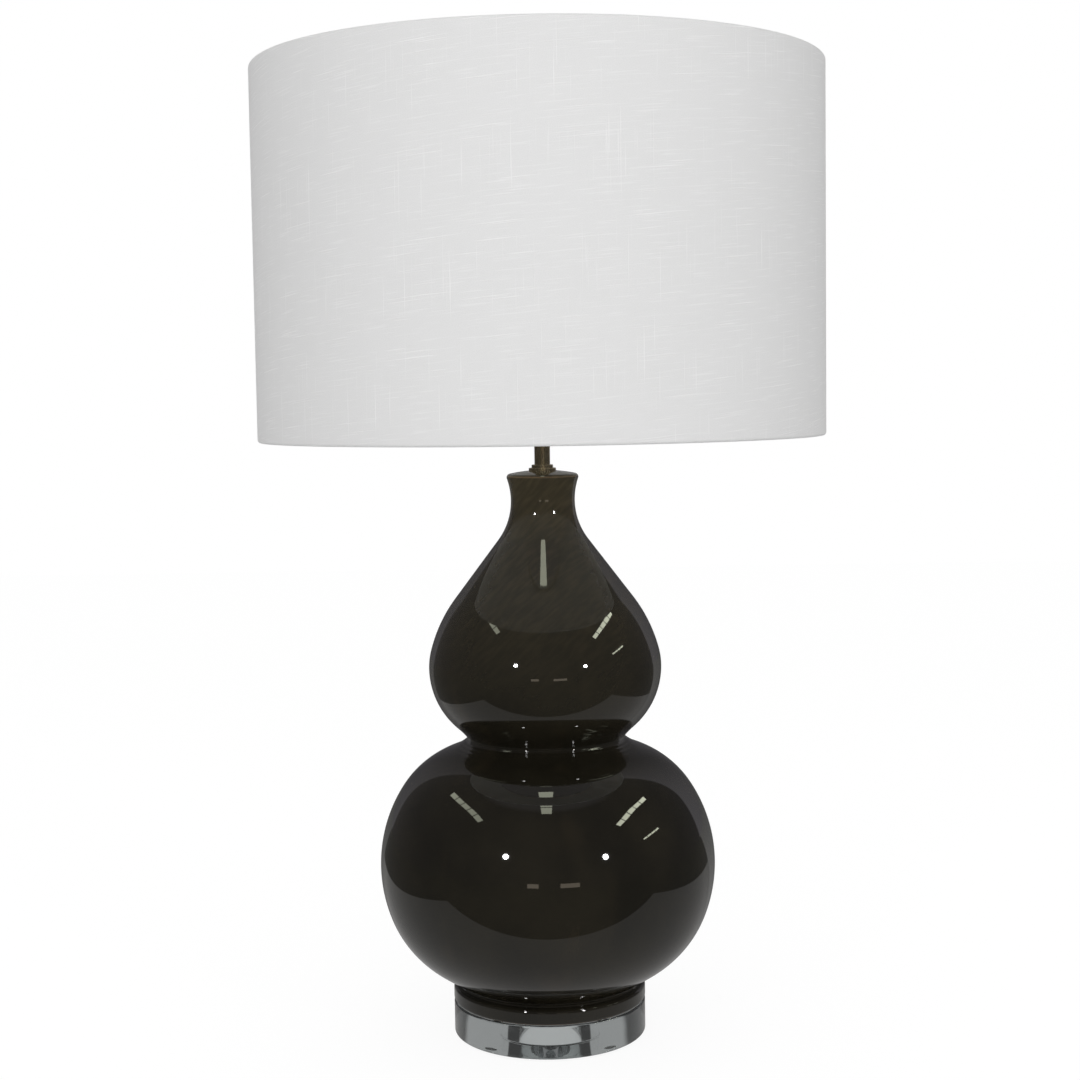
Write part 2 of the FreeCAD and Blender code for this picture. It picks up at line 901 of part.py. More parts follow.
def spider_arms():
    """Wires from the hub to the top ring, bent up at their outer ends."""
    level = hub_top + arm_radius
    turn = math.radians(arm_end_turn)
    rise = top_ring_z - level - arm_bend * (1 - math.cos(turn))
    slope_run = rise / math.tan(turn)
    bend_end = ring_radius - slope_run
    bend_start = bend_end - arm_bend * math.sin(turn)
    bend_end_z = level + arm_bend * (1 - math.cos(turn))
    middle = point(
        bend_start + arm_bend * math.sin(turn / 2), level + arm_bend * (1 - math.cos(turn / 2))
    )
    edges = [
        Part.makeLine(point(arm_start, level), point(bend_start, level)),
        Part.Arc(point(bend_start, level), middle, point(bend_end, bend_end_z)).toShape(),
        Part.makeLine(point(bend_end, bend_end_z), point(ring_radius, top_ring_z)),
    ]
    arm = wire_along(edges, arm_radius).cut(shade_ring(top_ring_z))
    pieces = sorted(arm.Solids, key=lambda solid: solid.Volume)
    return Part.makeCompound(around(pieces[-1], arm_count, arm_first_angle))


def finial():
    """Turned nut that holds the shade down: foot, hollow neck and ball."""
    bottom = hub_top
    foot_top = bottom + finial_base_height
    neck_top = foot_top + finial_neck_height
    hole = stud_radius + finial_hole_gap
    hole_top = swivel_seat + stud_length + finial_hole_spare
    start = math.acos(finial_neck_radius / finial_ball_radius)
    centre = neck_top + finial_ball_radius * math.sin(start)
    ball = math.tan((math.pi / 2 + start) / 4)
    return turned(
        [
            (hole, bottom),
            (finial_base_radius, bottom),
            (finial_base_radius, foot_top, finial_base_crown),
            (finial_waist_radius, foot_top),
            (finial_neck_radius, neck_top),
            (0, centre + finial_ball_radius, ball),
            (0, hole_top),
            (hole, hole_top),
        ]
    )


# --------------------------------------------------------------------------- lampholder
boss_top = saddle_top + cap_boss_height
cap_wall_bottom = boss_top + cap_shoulder_height
cap_top = cap_wall_bottom + cap_rim_height
body_bottom = boss_top + cap_shoulder_height - sheet_thickness + body_lift
body_top = body_bottom + body_height
shell_bottom = cap_wall_bottom
shell_top = shell_bottom + shell_length
shell_inner = shell_radius - sheet_thickness
liner_outer = shell_inner - shell_gap
liner_inner = liner_outer - liner_thickness
contact_top = body_top + contact_height
screw_shell_inner = cap_screw_radius + running_gap
switch_z = cap_top + switch_flange_radius + switch_rise


def socket_cap():
    """Pressed cup on a boss that screws onto the lamp pipe."""
    inner = shell_radius + shell_gap
    outer = inner + sheet_thickness
    cup = turned(
        [
            (rod_radius + thread_gap, saddle_top),
            (cap_boss_radius, saddle_top),
            (cap_boss_radius, boss_top - sheet_thickness),
            (outer - cap_shoulder_height, boss_top - sheet_thickness),
            (outer, cap_wall_bottom - sheet_thickness, QUARTER),
            (outer, cap_top),
            (inner, cap_top),
            (inner, cap_wall_bottom),
            (inner - cap_shoulder_height, boss_top, -QUARTER),
            (rod_radius + thread_gap, boss_top),
        ]
    )
    hole = rod(set_screw_radius + thread_gap, 0, cap_boss_radius)
    at = Vector(0, 0, saddle_top + cap_boss_height / 2)
    return cup.cut(aimed(hole, at, Vector(0, 1, 0)))


def socket_set_screw():
    """Slotted screw that locks the cap on the pipe."""
    screw = rod(set_screw_radius, 0, set_screw_length)
    slot = block(
        (-set_screw_radius, -terminal_slot / 2, set_screw_length - terminal_slot),
        (set_screw_radius, terminal_slot / 2, set_screw_length),
    )
    at = Vector(0, rod_radius + thread_gap, saddle_top + cap_boss_height / 2)
    return aimed(screw.cut(slot), at, Vector(0, 1, 0))


def switch_hole(radius):
    """Round hole forwards through the lampholder at the switch."""
    return aimed(rod(radius, 0, 2 * shell_radius), Vector(0, 0, switch_z), Vector(0, -1, 0))


def socket_shell():
    """Drawn tube with its top edge turned in and a hole for the switch."""
    tube = turned(
        [
            (shell_radius, shell_bottom),
            (shell_radius, shell_top - shell_lip),
            (shell_radius - shell_lip, shell_top, QUARTER),
            (shell_inner - shell_lip, shell_top),
            (shell_inner - shell_lip, shell_top - sheet_thickness),
            (shell_inner, shell_top - sheet_thickness),
            (shell_inner, shell_bottom),
        ]
    )
    return tube.cut(switch_hole(switch_bushing_radius + running_gap))


def socket_liner():
    """Insulating card sleeve inside the shell."""
    height = shell_length - sheet_thickness - liner_setback
    sleeve = ring(liner_inner, liner_outer, shell_bottom, height)
    return sleeve.cut(switch_hole(switch_bushing_radius + running_gap))


def socket_body():
    """Moulded block that carries the contacts and the switch, with a flat on each side."""
    flat = body_radius - flat_inset
    reach = shell_radius
    shape = turned(
        [
            (0, body_bottom),
            (liner_inner - shell_gap, body_bottom),
            (liner_inner - shell_gap, body_bottom + body_foot_height),
            (body_radius, body_bottom + body_foot_height),
            (body_radius, body_top),
            (0, body_top),
        ]
    )
    for low, high in ((flat, reach), (-reach, -flat)):
        side = block((low, -reach, body_bottom + body_foot_height), (high, reach, body_top))
        shape = shape.cut(side)
    at = Vector(0, -body_radius + shaft_length / 2, switch_z)
    pocket = aimed(rod(shaft_radius + running_gap, 0, reach), at, Vector(0, -1, 0))
    return shape.cut(pocket)


def terminal_screws():
    """Two slotted screw heads on the flats of the body."""
    level = (body_bottom + body_foot_height + body_top) / 2
    head = rod(terminal_radius, 0, terminal_height)
    slot = block(
        (-terminal_radius, -terminal_slot / 2, terminal_height - terminal_slot),
        (terminal_radius, terminal_slot / 2, terminal_height),
    )
    flat = body_radius - flat_inset
    screws = []
    for side in (-1, 1):
        at = Vector(side * flat, 0, level)
        screws.append(aimed(head.cut(slot), at, Vector(side, 0, 0)))
    return Part.makeCompound(screws)


def screw_shell():
    outer = screw_shell_inner + screw_shell_thickness
    return ring(screw_shell_inner, outer, body_top, screw_shell_height)


def centre_contact():
    return turned(
        [
            (0, body_top),
            (contact_radius, body_top),
            (contact_radius * 3 / 4, contact_top),
            (0, contact_top),
        ]
    )


def switch_bushing():
    """Collar that keeps the switch shaft clear of the metal shell."""
    inner_end = liner_inner
    collar = turned(
        [
            (shaft_radius + running_gap, inner_end),
            (switch_bushing_radius, inner_end),
            (switch_bushing_radius, shell_radius),
            (switch_flange_radius, shell_radius),
            (switch_flange_radius, shell_radius + switch_flange_height),
            (shaft_radius + running_gap, shell_radius + switch_flange_height),
        ]
    )
    return aimed(collar, Vector(0, 0, switch_z), Vector(0, -1, 0))


knob_start = shell_radius + switch_flange_height + knob_gap


def switch_shaft():
    start = body_radius - shaft_length / 2 + running_gap
    end = knob_start + knob_length / 2
    return aimed(rod(shaft_radius, start, end - start), Vector(0, 0, switch_z), Vector(0, -1, 0))


def switch_knob():
    """Fluted turn knob."""
    end = knob_start + knob_length
    shape = turned(
        [
            (0, knob_start),
            (knob_radius - knob_edge, knob_start),
            (knob_radius, knob_start + knob_edge, QUARTER),
            (knob_radius, end - knob_edge),
            (knob_radius - knob_edge, end, QUARTER),
            (0, end),
        ]
    )
    flute = rod(flute_radius, knob_start, knob_length)
    flute.translate(Vector(knob_radius, 0, 0))
    for cut in around(flute, knob_flutes, 0.0):
        shape = shape.cut(cut)
    shape = shape.cut(rod(shaft_radius, knob_start, knob_length / 2))
    return aimed(shape, Vector(0, 0, switch_z), Vector(0, -1, 0))


# --------------------------------------------------------------------------- bulb
tip_top = contact_top + bulb_tip_height
cone_top = tip_top + bulb_cone_height
screw_cap_top = cone_top + cap_screw_height
housing_top = screw_cap_top + housing_height
globe_top = housing_top + globe_length


def bulb_contact():
    return turned(
        [
            (0, contact_top),
            (bulb_tip_radius * 3 / 4, contact_top),
            (bulb_tip_radius, tip_top, QUARTER),
            (0, tip_top),
        ]
    )


def bulb_insulator():
    return turned(
        [
            (0, tip_top),
            (bulb_cone_radius, tip_top),
            (bulb_cone_top_radius, cone_top),
            (0, cone_top),
        ]
    )


def bulb_cap():
    return turned(
        [
            (0, cone_top),
            (bulb_cone_top_radius, cone_top),
            (cap_screw_radius, cone_top + bulb_cap_bevel),
            (cap_screw_radius, screw_cap_top),
            (0, screw_cap_top),
        ]
    )


def bulb_housing():
    """Tapered body under the globe, with a short collar on the cap."""
    collar_top = screw_cap_top + housing_collar
    return turned(
        [
            (0, screw_cap_top),
            (housing_base_radius, screw_cap_top),
            (housing_base_radius, collar_top),
            (housing_top_radius, housing_top, -housing_hollow),
            (0, housing_top),
        ]
    )


def bulb_globe():
    """Frosted dome: it swells from the housing to its widest and closes in a round top."""
    centre = globe_top - globe_radius
    drop = centre - housing_top
    lean = math.atan2(drop, globe_radius)
    low = math.tan(lean / 4)
    return turned(
        [
            (0, housing_top),
            (housing_top_radius, housing_top),
            (globe_radius, centre, low),
            (0, globe_top, QUARTER),
        ]
    )


# --------------------------------------------------------------------------- writing the pieces
pieces = {
    "foot_pads": foot_pads(),
    "crystal_base": crystal_base(),
    "base_gasket": base_gasket(),
    "base_washer": base_washer(),
    "lock_washer": lock_washer(),
    "base_nut": base_nut(),
    "lamp_rod": lamp_rod(),
    "gourd_body": gourd_body(),
    "cord_bushing": cord_bushing(),
    "check_ring": check_ring(),
    "neck_tube": neck_tube(),
    "harp_saddle": harp_saddle(),
    "socket_cap": socket_cap(),
    "socket_set_screw": socket_set_screw(),
    "socket_body": socket_body(),
    "terminal_screws": terminal_screws(),
    "screw_shell": screw_shell(),
    "centre_contact": centre_contact(),
    "socket_liner": socket_liner(),
    "socket_shell": socket_shell(),
    "switch_bushing": switch_bushing(),
    "switch_shaft": switch_shaft(),
    "switch_knob": switch_knob(),
    "harp": harp(),
    "harp_ferrule_left": harp_ferrule(-1),
    "harp_ferrule_right": harp_ferrule(1),
    "harp_swivel": harp_swivel(),
    "shade_cover": shade_cover(),
    "shade_liner": shade_liner(),
    "shade_top_ring": shade_ring(top_ring_z),
    "shade_bottom_ring": shade_ring(bottom_ring_z),
    "spider_hub": spider_hub(),
    "spider_arms": spider_arms(),
    "finial": finial(),
    "bulb_contact": bulb_contact(),
    "bulb_insulator": bulb_insulator(),
    "bulb_cap": bulb_cap(),
    "bulb_housing": bulb_housing(),
    "bulb_globe": bulb_globe(),
}

os.makedirs("parts", exist_ok=True)
for name, shape in pieces.items():
    shape.exportStep(f"parts/{name}.step")
    box = shape.optimalBoundingBox()
    print(
        f"{name:20s} solids {len(shape.Solids)} valid {shape.isValid()} "
        f"volume {shape.Volume:12.1f} z {box.ZMin:8.2f} to {box.ZMax:8.2f}"
    )
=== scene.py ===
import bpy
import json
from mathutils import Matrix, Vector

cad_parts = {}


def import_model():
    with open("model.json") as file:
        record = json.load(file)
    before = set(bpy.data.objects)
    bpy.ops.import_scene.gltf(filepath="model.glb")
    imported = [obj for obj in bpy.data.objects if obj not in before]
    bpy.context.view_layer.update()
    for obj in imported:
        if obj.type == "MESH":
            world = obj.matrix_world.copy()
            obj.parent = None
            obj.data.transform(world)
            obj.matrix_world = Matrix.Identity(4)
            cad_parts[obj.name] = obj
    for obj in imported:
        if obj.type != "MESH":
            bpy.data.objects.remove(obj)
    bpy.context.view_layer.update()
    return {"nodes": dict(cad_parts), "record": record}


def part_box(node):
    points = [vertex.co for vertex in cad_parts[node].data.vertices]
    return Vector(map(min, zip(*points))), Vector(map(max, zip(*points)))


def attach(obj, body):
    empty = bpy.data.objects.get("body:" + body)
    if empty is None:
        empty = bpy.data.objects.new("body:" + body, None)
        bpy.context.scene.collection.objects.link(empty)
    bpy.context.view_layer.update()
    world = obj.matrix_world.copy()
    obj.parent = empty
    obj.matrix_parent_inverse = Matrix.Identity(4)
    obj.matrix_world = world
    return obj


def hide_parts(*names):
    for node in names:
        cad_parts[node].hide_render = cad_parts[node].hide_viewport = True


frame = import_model()

# Dressed model of the double gourd lamp: glazed ceramic on a clear foot, with a linen drum shade.
# Sizes of the lamp are in millimetres, from the frame where it has them. Meshes, finishes and the
# studio are in metres.

import json
import math

import bmesh
import bpy
from mathutils import Matrix, Vector

scene = bpy.context.scene
nodes = frame["nodes"]
MM = 0.001


def corners(name):
    """Lowest and highest corner of a frame node, in mm."""
    low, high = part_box(name)
    return low / MM, high / MM


# --------------------------------------------------------------------------- sizes, mm
# Lengths between the points of a profile, and numbers of points round the axis
STEP = 1.6
FINE_STEP = 0.4
FLAT_STEP = 8.0
LINEN_STEP = 6.0
ROLL_STEP = 0.35
AROUND = 288
LINEN_AROUND = 480
THREAD_AROUND = 96
PIN_AROUND = 48
INSIDE_EVERY = 3

FOOT_BOTTOM = corners("gourd_body")[0].z
CROWN_SEAT = corners("check_ring")[0].z

# Ceramic gourd. A rise is a height above the mark before it, a round is an arc's radius, and a
# turn is the angle of the outward normal, in degrees, where an arc ends.
WALL = 6.0
FOOT_RADIUS = 78.0
FOOT_HEIGHT = 12.8
FOOT_EDGE_ROUND = 2.5
FOOT_SHOULDER_ROUND = 3.5
FOOT_RING_WIDTH = 14.0
FOOT_RECESS = 2.0
FOOT_CAVITY_INSET = 12.0
FLOOR_THICKNESS = 8.0
GROOVE_ROUND = 1.2
BELLY_RADIUS = 135.45
BELLY_RISE = 112.0
BELLY_LOW_ROUNDS = (115.05, 89.4)
BELLY_LOW_TURNS = (-21.7, -56.7)
BELLY_LOW_STRAIGHT = 23.3
BELLY_HIGH_ROUNDS = (112.97, 76.65)
BELLY_HIGH_TURNS = (33.8, 70.0)
BELLY_WAIST_ROUND = 45.9
BELLY_WAIST_TURN = 50.0
WAIST_RADIUS = 64.0
WAIST_RISE = 102.5
WAIST_CREASE_ROUND = 3.0
BULB_WAIST_ROUND = 62.2
BULB_WAIST_TURN = -39.7
BULB_RADIUS = 93.6
BULB_RISE = 57.0
BULB_LOW_ROUNDS = (63.86, 63.03)
BULB_LOW_TURNS = (-11.2, -49.1)
BULB_HIGH_ROUNDS = (55.28, 118.28)
BULB_HIGH_TURNS = (14.5, 37.1)
BULB_HIGH_STRAIGHT = 58.7
NECK_FLARE_ROUND = 52.4
NECK_RADIUS = 25.65
NECK_RISE = 134.0
LIP_RADIUS = 28.75
LIP_ROUND = 3.0
LIP_RISE = 18.5
LIP_TOP_TURN = 78.0
CROWN_THICKNESS = 9.0
ROD_HOLE_RADIUS = 5.25
CORD_TURN = -40.0
CORD_HOLE_RADIUS = 4.75
CORD_PIN_HALF = 25.0

# Search for the multiple of a flank's inner turns with which it ends at its mark
LEAST_TURN = 0.3
WIDEST_TURN = 88.0
HALVINGS = 50

# Throwing rings of the waist, which fade out over their reach
RING_PITCH = 2.1
RING_DEPTH = 0.11
RING_REACH = 16.0
RING_STEP = RING_PITCH / 6

# Crystal foot
CRYSTAL_RADIUS = 77.9
CRYSTAL_TOP_ROUND = 1.6
CRYSTAL_BOTTOM_ROUND = 2.6
POCKET_RADIUS = 25.5
POCKET_ROUND = 1.2

# Shade
SHADE_RADIUS = 225.0
LINEN = 0.6
HEM_ROLL = 2.4
HEM_DEPTH = 8.0
SEAM_WIDTH = 12.0
SEAM_RISE = 0.5
SEAM_EDGE = 0.4
WEFT_SLANT = 5.0

# Screw threads of the bulb and its holder, rolled in thin sheet
THREAD_PITCH = 3.63
THREAD_DEPTH = 0.7
THREAD_STEP = THREAD_PITCH / 16
THREAD_SLACK = 0.1
BULB_CONE_RADIUS = 11.2
BULB_CAP_BEVEL = 1.2
SHELL_SHEET = 0.4


# --------------------------------------------------------------------------- profiles, (r, z) in mm
def normal(angle):
    """Unit vector at an angle in the (r, z) half-plane: 0 points away from the axis, 90 up."""
    return math.cos(math.radians(angle)), math.sin(math.radians(angle))


def arc(centre, radius, start, end, step=STEP):
    """Points of an arc about centre, from one angle to another, about one per step of length."""
    count = max(3, math.ceil(abs(radius * math.radians(end - start)) / step))
    points = []
    for i in range(count + 1):
        n = normal(start + (end - start) * i / count)
        points.append((centre[0] + radius * n[0], centre[1] + radius * n[1]))
    return points


def line(start, end, step=STEP):
    """Points of a straight run."""
    count = max(1, math.ceil(math.dist(start, end) / step))
    return [
        tuple(start[k] + (end[k] - start[k]) * i / count for k in (0, 1)) for i in range(count + 1)
    ]


def trace(start, steps, way, inset=0.0, hollow_step=STEP):
    """Points of a smooth chain that starts with its outward normal at 0 degrees.

    A step is ("arc", radius, angle), which turns the normal to that angle, or ("line", length).
    way is 1 upwards and -1 downwards, inset moves the whole chain inwards, and hollow arcs have
    a point for each hollow_step of length.
    """
    angle = 0.0
    at = (start[0] - inset, start[1])
    points = [at]
    for step in steps:
        n = normal(angle)
        if step[0] == "line":
            end = (at[0] - way * step[1] * n[1], at[1] + way * step[1] * n[0])
            points += line(at, end)[1:]
        else:
            radius = step[1] - inset
            centre = (at[0] - radius * n[0], at[1] - radius * n[1])
            size = hollow_step if step[1] < 0 else STEP
            points += arc(centre, radius, angle, step[2], size)[1:]
            angle = step[2]
        at = points[-1]
    return points


def reach(steps, turn, way):
    """(r, z) from a chain's start to its end, with its inner turns multiplied by turn."""
    r, z = 0.0, 0.0
    n = normal(0.0)
    for step in steps:
        if step[0] == "line":
            r -= way * step[1] * n[1]
            z += way * step[1] * n[0]
        else:
            m = normal(step[2] if step is steps[-1] else step[2] * turn)
            r += step[1] * (m[0] - n[0])
            z += step[1] * (m[1] - n[1])
            n = m
    return r, z


def fitted(start, end, steps, way):
    """Steps of a flank, scaled, and with its inner turns opened or closed, until it ends at end."""
    need = (end[0] - start[0], end[1] - start[1])

    def miss(turn):
        r, z = reach(steps, turn, way)
        return r * need[1] - z * need[0]

    least = LEAST_TURN
    most = WIDEST_TURN / max(abs(step[2]) for step in steps[:-1] if step[0] == "arc")
    for _ in range(HALVINGS):
        turn = (least + most) / 2
        if miss(turn) * miss(least) > 0:
            least = turn
        else:
            most = turn
    size = math.hypot(*need) / math.hypot(*reach(steps, turn, way))
    chain = []
    for step in steps:
        if step[0] == "line":
            chain.append(("line", step[1] * size))
        else:
            angle = step[2] if step is steps[-1] else step[2] * turn
            chain.append(("arc", step[1] * size, angle))
    return chain


SHOULDER = (FOOT_RADIUS - FOOT_SHOULDER_ROUND, FOOT_BOTTOM + FOOT_HEIGHT)
BELLY = (BELLY_RADIUS, FOOT_BOTTOM + BELLY_RISE)
WAIST = (WAIST_RADIUS, BELLY[1] + WAIST_RISE)
BULB = (BULB_RADIUS, WAIST[1] + BULB_RISE)
NECK = (NECK_RADIUS, BULB[1] + NECK_RISE)


def arcs(rounds, turns):
    """The two arcs next to a swelling's widest place."""
    return [("arc", rounds[0], turns[0]), ("arc", rounds[1], turns[1])]


def belly_low():
    """Steps from the belly's widest place down to the foot's shoulder."""
    steps = arcs(BELLY_LOW_ROUNDS, BELLY_LOW_TURNS)
    steps += [("line", BELLY_LOW_STRAIGHT), ("arc", -GROOVE_ROUND, 90.0)]
    return fitted(BELLY, SHOULDER, steps, -1)


def gourd_flanks(inset):
    """Points of the flanks, from the foot up to the neck. The groove is only on the outside."""
    crease = ("arc", -WAIST_CREASE_ROUND, 0.0)
    high = arcs(BELLY_HIGH_ROUNDS, BELLY_HIGH_TURNS)
    high += [("arc", -BELLY_WAIST_ROUND, BELLY_WAIST_TURN), crease]
    under = arcs(BULB_LOW_ROUNDS, BULB_LOW_TURNS)
    under += [("arc", -BULB_WAIST_ROUND, BULB_WAIST_TURN), crease]
    over = arcs(BULB_HIGH_ROUNDS, BULB_HIGH_TURNS)
    over += [("line", BULB_HIGH_STRAIGHT), ("arc", -NECK_FLARE_ROUND, 0.0)]
    low = trace(BELLY, belly_low()[:-1] if inset else belly_low(), -1, inset)[::-1]
    fine = STEP if inset else RING_STEP
    high = trace(BELLY, fitted(BELLY, WAIST, high, 1), 1, inset, fine)
    under = trace(BULB, fitted(BULB, WAIST, under, -1), -1, inset, fine)[::-1]
    over = trace(BULB, fitted(BULB, NECK, over, 1), 1, inset)
    return low + high[1:] + under[1:] + over[1:]


def thrown(r, z):
    """Puts the fine rings of the throwing wheel into the waist."""
    off = (z - WAIST[1]) / RING_REACH
    fade = max(0.0, 1.0 - off * off)
    return r + RING_DEPTH * fade * math.sin(2 * math.pi * (z - WAIST[1]) / RING_PITCH), z


def gourd_outside():
    """Points of the outside, from the foot ring's inner edge to the hole in the crown."""
    base = FOOT_BOTTOM
    shoulder = (SHOULDER[0], SHOULDER[1] - FOOT_SHOULDER_ROUND)
    edge = (FOOT_RADIUS - FOOT_EDGE_ROUND, base + FOOT_EDGE_ROUND)
    points = line((FOOT_RADIUS - FOOT_RING_WIDTH, base), (edge[0], base))
    points += arc(edge, FOOT_EDGE_ROUND, -90, 0, FINE_STEP)[1:]
    points += line(points[-1], (FOOT_RADIUS, shoulder[1]))[1:]
    points += arc(shoulder, FOOT_SHOULDER_ROUND, 0, 90, FINE_STEP)[1:]
    points += [thrown(r, z) for r, z in gourd_flanks(0.0)[1:]]
    # The neck's hollow and the lip's round touch, so their centres are both radii apart
    flare = LIP_RADIUS - NECK_RADIUS
    centres = (LIP_RISE * LIP_RISE + flare * flare) / (2 * flare)
    hollow = centres - LIP_ROUND
    lip_turn = -math.degrees(math.atan2(LIP_RISE, centres - flare))
    points += arc((NECK_RADIUS + hollow, NECK[1]), -hollow, 0, lip_turn, 2 * FINE_STEP)[1:]
    lip = (LIP_RADIUS - LIP_ROUND, NECK[1] + LIP_RISE)
    points += arc(lip, LIP_ROUND, lip_turn, LIP_TOP_TURN, FINE_STEP / 2)[1:]
    # The crown is a dome about the axis, and flat where the check ring sits
    edge_r, edge_z = points[-1]
    dome = edge_r / normal(LIP_TOP_TURN)[0]
    dome_centre = edge_z - dome * normal(LIP_TOP_TURN)[1]
    dome_turn = math.degrees(math.acos(ROD_HOLE_RADIUS / dome))
    points += arc((0.0, dome_centre), dome, LIP_TOP_TURN, dome_turn)[1:]
    return [(r, min(z, CROWN_SEAT)) for r, z in points]


def gourd_inside():
    """Points of the cavity, from the crown down to the floor, and the recess under the floor."""
    ceiling = CROWN_SEAT - CROWN_THICKNESS
    floor = FOOT_BOTTOM + FLOOR_THICKNESS
    recess = FOOT_BOTTOM + FOOT_RECESS
    points = [(ROD_HOLE_RADIUS, ceiling)]
    points += gourd_flanks(WALL)[::-INSIDE_EVERY]
    points += [(FOOT_RADIUS - FOOT_CAVITY_INSET, floor), (ROD_HOLE_RADIUS, floor)]
    points += [(ROD_HOLE_RADIUS, recess), (FOOT_RADIUS - FOOT_RING_WIDTH, recess)]
    return points


# --------------------------------------------------------------------------- meshes
WELD = 1e-7


def mesh_object(name, verts, faces, sharp=None):
    """Mesh object from points in metres; edges sharper than sharp degrees stay sharp."""
    mesh = bpy.data.meshes.new(name)
    mesh.from_pydata([tuple(v) for v in verts], [], faces)
    made = bpy.data.objects.new(name, mesh)
    scene.collection.objects.link(made)
    shell = bmesh.new()
    shell.from_mesh(mesh)
    bmesh.ops.remove_doubles(shell, verts=shell.verts, dist=WELD)
    bmesh.ops.recalc_face_normals(shell, faces=shell.faces)
    shell.to_mesh(mesh)
    shell.free()
    mesh.shade_smooth()
    if sharp:
        mesh.set_sharp_from_angle(angle=math.radians(sharp))
    return made


def even(count):
    """Angles round the axis, in radians. 0 is the back and a quarter turn is the right side."""
    return [2 * math.pi * j / count for j in range(count)]


def lathe(name, profile, angles, sharp=35.0, shape=None):
    """Closed solid of revolution of (r, z) points. shape(angle, r, z) may move a point."""
    verts = []
    for angle in angles:
        for r, z in profile:
            if shape:
                r, z = shape(angle, r, z)
            verts.append((r * MM * math.sin(angle), r * MM * math.cos(angle), z * MM))
    rows = len(profile)
    faces = []
    for j in range(len(angles)):
        a, b = j * rows, (j + 1) % len(angles) * rows
        for i in range(rows):
            k = (i + 1) % rows
            faces.append((a + i, a + k, b + k, b + i))
    return mesh_object(name, verts, faces, sharp)


def thread(low, high, least, depth):
    """shape() of a rolled right-hand thread between two levels, where the radius is over least."""

    def shape(angle, r, z):
        fade = min(1.0, (z - low) * 2 / THREAD_PITCH, (high - z) * 2 / THREAD_PITCH)
        if r > least and fade > 0:
            turn = 2 * math.pi * z / THREAD_PITCH + angle
            r += depth * fade * (0.5 - 0.5 * math.cos(turn))
        return r, z

    return shape


def cut(made, other):
    """Takes the shape of other out of made, and deletes other."""
    modifier = made.modifiers.new("cut", "BOOLEAN")
    modifier.operation = "DIFFERENCE"
    modifier.solver = "EXACT"
    modifier.object = other
    graph = bpy.context.evaluated_depsgraph_get()
    mesh = bpy.data.meshes.new_from_object(made.evaluated_get(graph))
    made.modifiers.clear()
    made.data = mesh
    bpy.data.objects.remove(other)


# --------------------------------------------------------------------------- materials
def rgb(red, green, blue):
    """A colour written in sRGB, 0 to 255, as the linear value that a shader takes."""
    values = []
    for c in (red, green, blue):
        c /= 255
        values.append(c / 12.92 if c <= 0.04045 else ((c + 0.055) / 1.055) ** 2.4)
    return (*values, 1.0)


def add(tree, kind, inputs=None, **settings):
    """A node with its inputs set, or linked where the value is another node's socket."""
    made = tree.nodes.new(kind)
    for name, value in settings.items():
        setattr(made, name, value)
    for name, value in (inputs or {}).items():
        if isinstance(value, bpy.types.NodeSocket):
            tree.links.new(value, made.inputs[name])
        else:
            made.inputs[name].default_value = value
    return made


def maths(tree, operation, a, b=0.0):
    """Result of one step of arithmetic."""
    return add(tree, "ShaderNodeMath", {0: a, 1: b}, operation=operation).outputs[0]


def material(name, **constants):
    """A material with its Principled shader, whose constants are set on its own sockets."""
    made = bpy.data.materials.new(name)
    made.use_nodes = True
    tree = made.node_tree
    shader = tree.nodes["Principled BSDF"]
    for key, value in constants.items():
        shader.inputs[key.replace("_", " ")].default_value = value
    place = tree.nodes.new("ShaderNodeTexCoord").outputs["Object"]
    return made, tree, shader, place


def noise(tree, place, scale, detail=3.0, stretch=(1, 1, 1), rotation=(0, 0, 0)):
    """Noise of that many features a metre, turned and then stretched along each axis."""
    if any(rotation):
        place = add(tree, "ShaderNodeMapping", {"Vector": place, "Rotation": rotation}).outputs[0]
    moved = add(tree, "ShaderNodeMapping", {"Vector": place, "Scale": stretch})
    sockets = {"Vector": moved.outputs[0], "Scale": scale, "Detail": detail}
    return add(tree, "ShaderNodeTexNoise", sockets).outputs["Fac"]


def waves(tree, place, pitch, axis, distortion=0.0):
    """Bands along an axis, with their pitch in mm."""
    sockets = {"Vector": place, "Scale": math.pi / (10 * pitch * MM), "Distortion": distortion}
    return add(tree, "ShaderNodeTexWave", sockets, bands_direction=axis).outputs["Fac"]


def remap(tree, value, low, high, to_low=0.0, to_high=1.0, kind="SMOOTHSTEP"):
    """A value's range from low to high spread over another range, and held at both ends."""
    sockets = {"Value": value, "From Min": low, "From Max": high, "To Min": to_low}
    sockets["To Max"] = to_high
    return add(tree, "ShaderNodeMapRange", sockets, interpolation_type=kind).outputs[0]


def between(tree, value, low, high, edge):
    """1 where a value is between two levels, with soft edges that wide."""
    rise = remap(tree, value, low, low + edge)
    fall = remap(tree, value, high - edge, high, 1.0, 0.0)
    return maths(tree, "MULTIPLY", rise, fall)


def mix(tree, factor, a, b):
    """The colour a where the factor is 0, and b where it is 1."""
    return add(tree, "ShaderNodeMix", {0: factor, 6: a, 7: b}, data_type="RGBA").outputs[2]


def bump(tree, shader, height, distance, before=None):
    """Bump whose height of 1 is that many mm, over the bump before it."""
    sockets = {"Height": height, "Distance": distance * MM, "Strength": 1.0}
    if before:
        sockets["Normal"] = before
    made = add(tree, "ShaderNodeBump", sockets).outputs[0]
    tree.links.new(made, shader.inputs["Normal"])
    return made


def axis_of(tree, place, axis):
    """One coordinate of a place or direction."""
    return add(tree, "ShaderNodeSeparateXYZ", {"Vector": place}).outputs[axis]


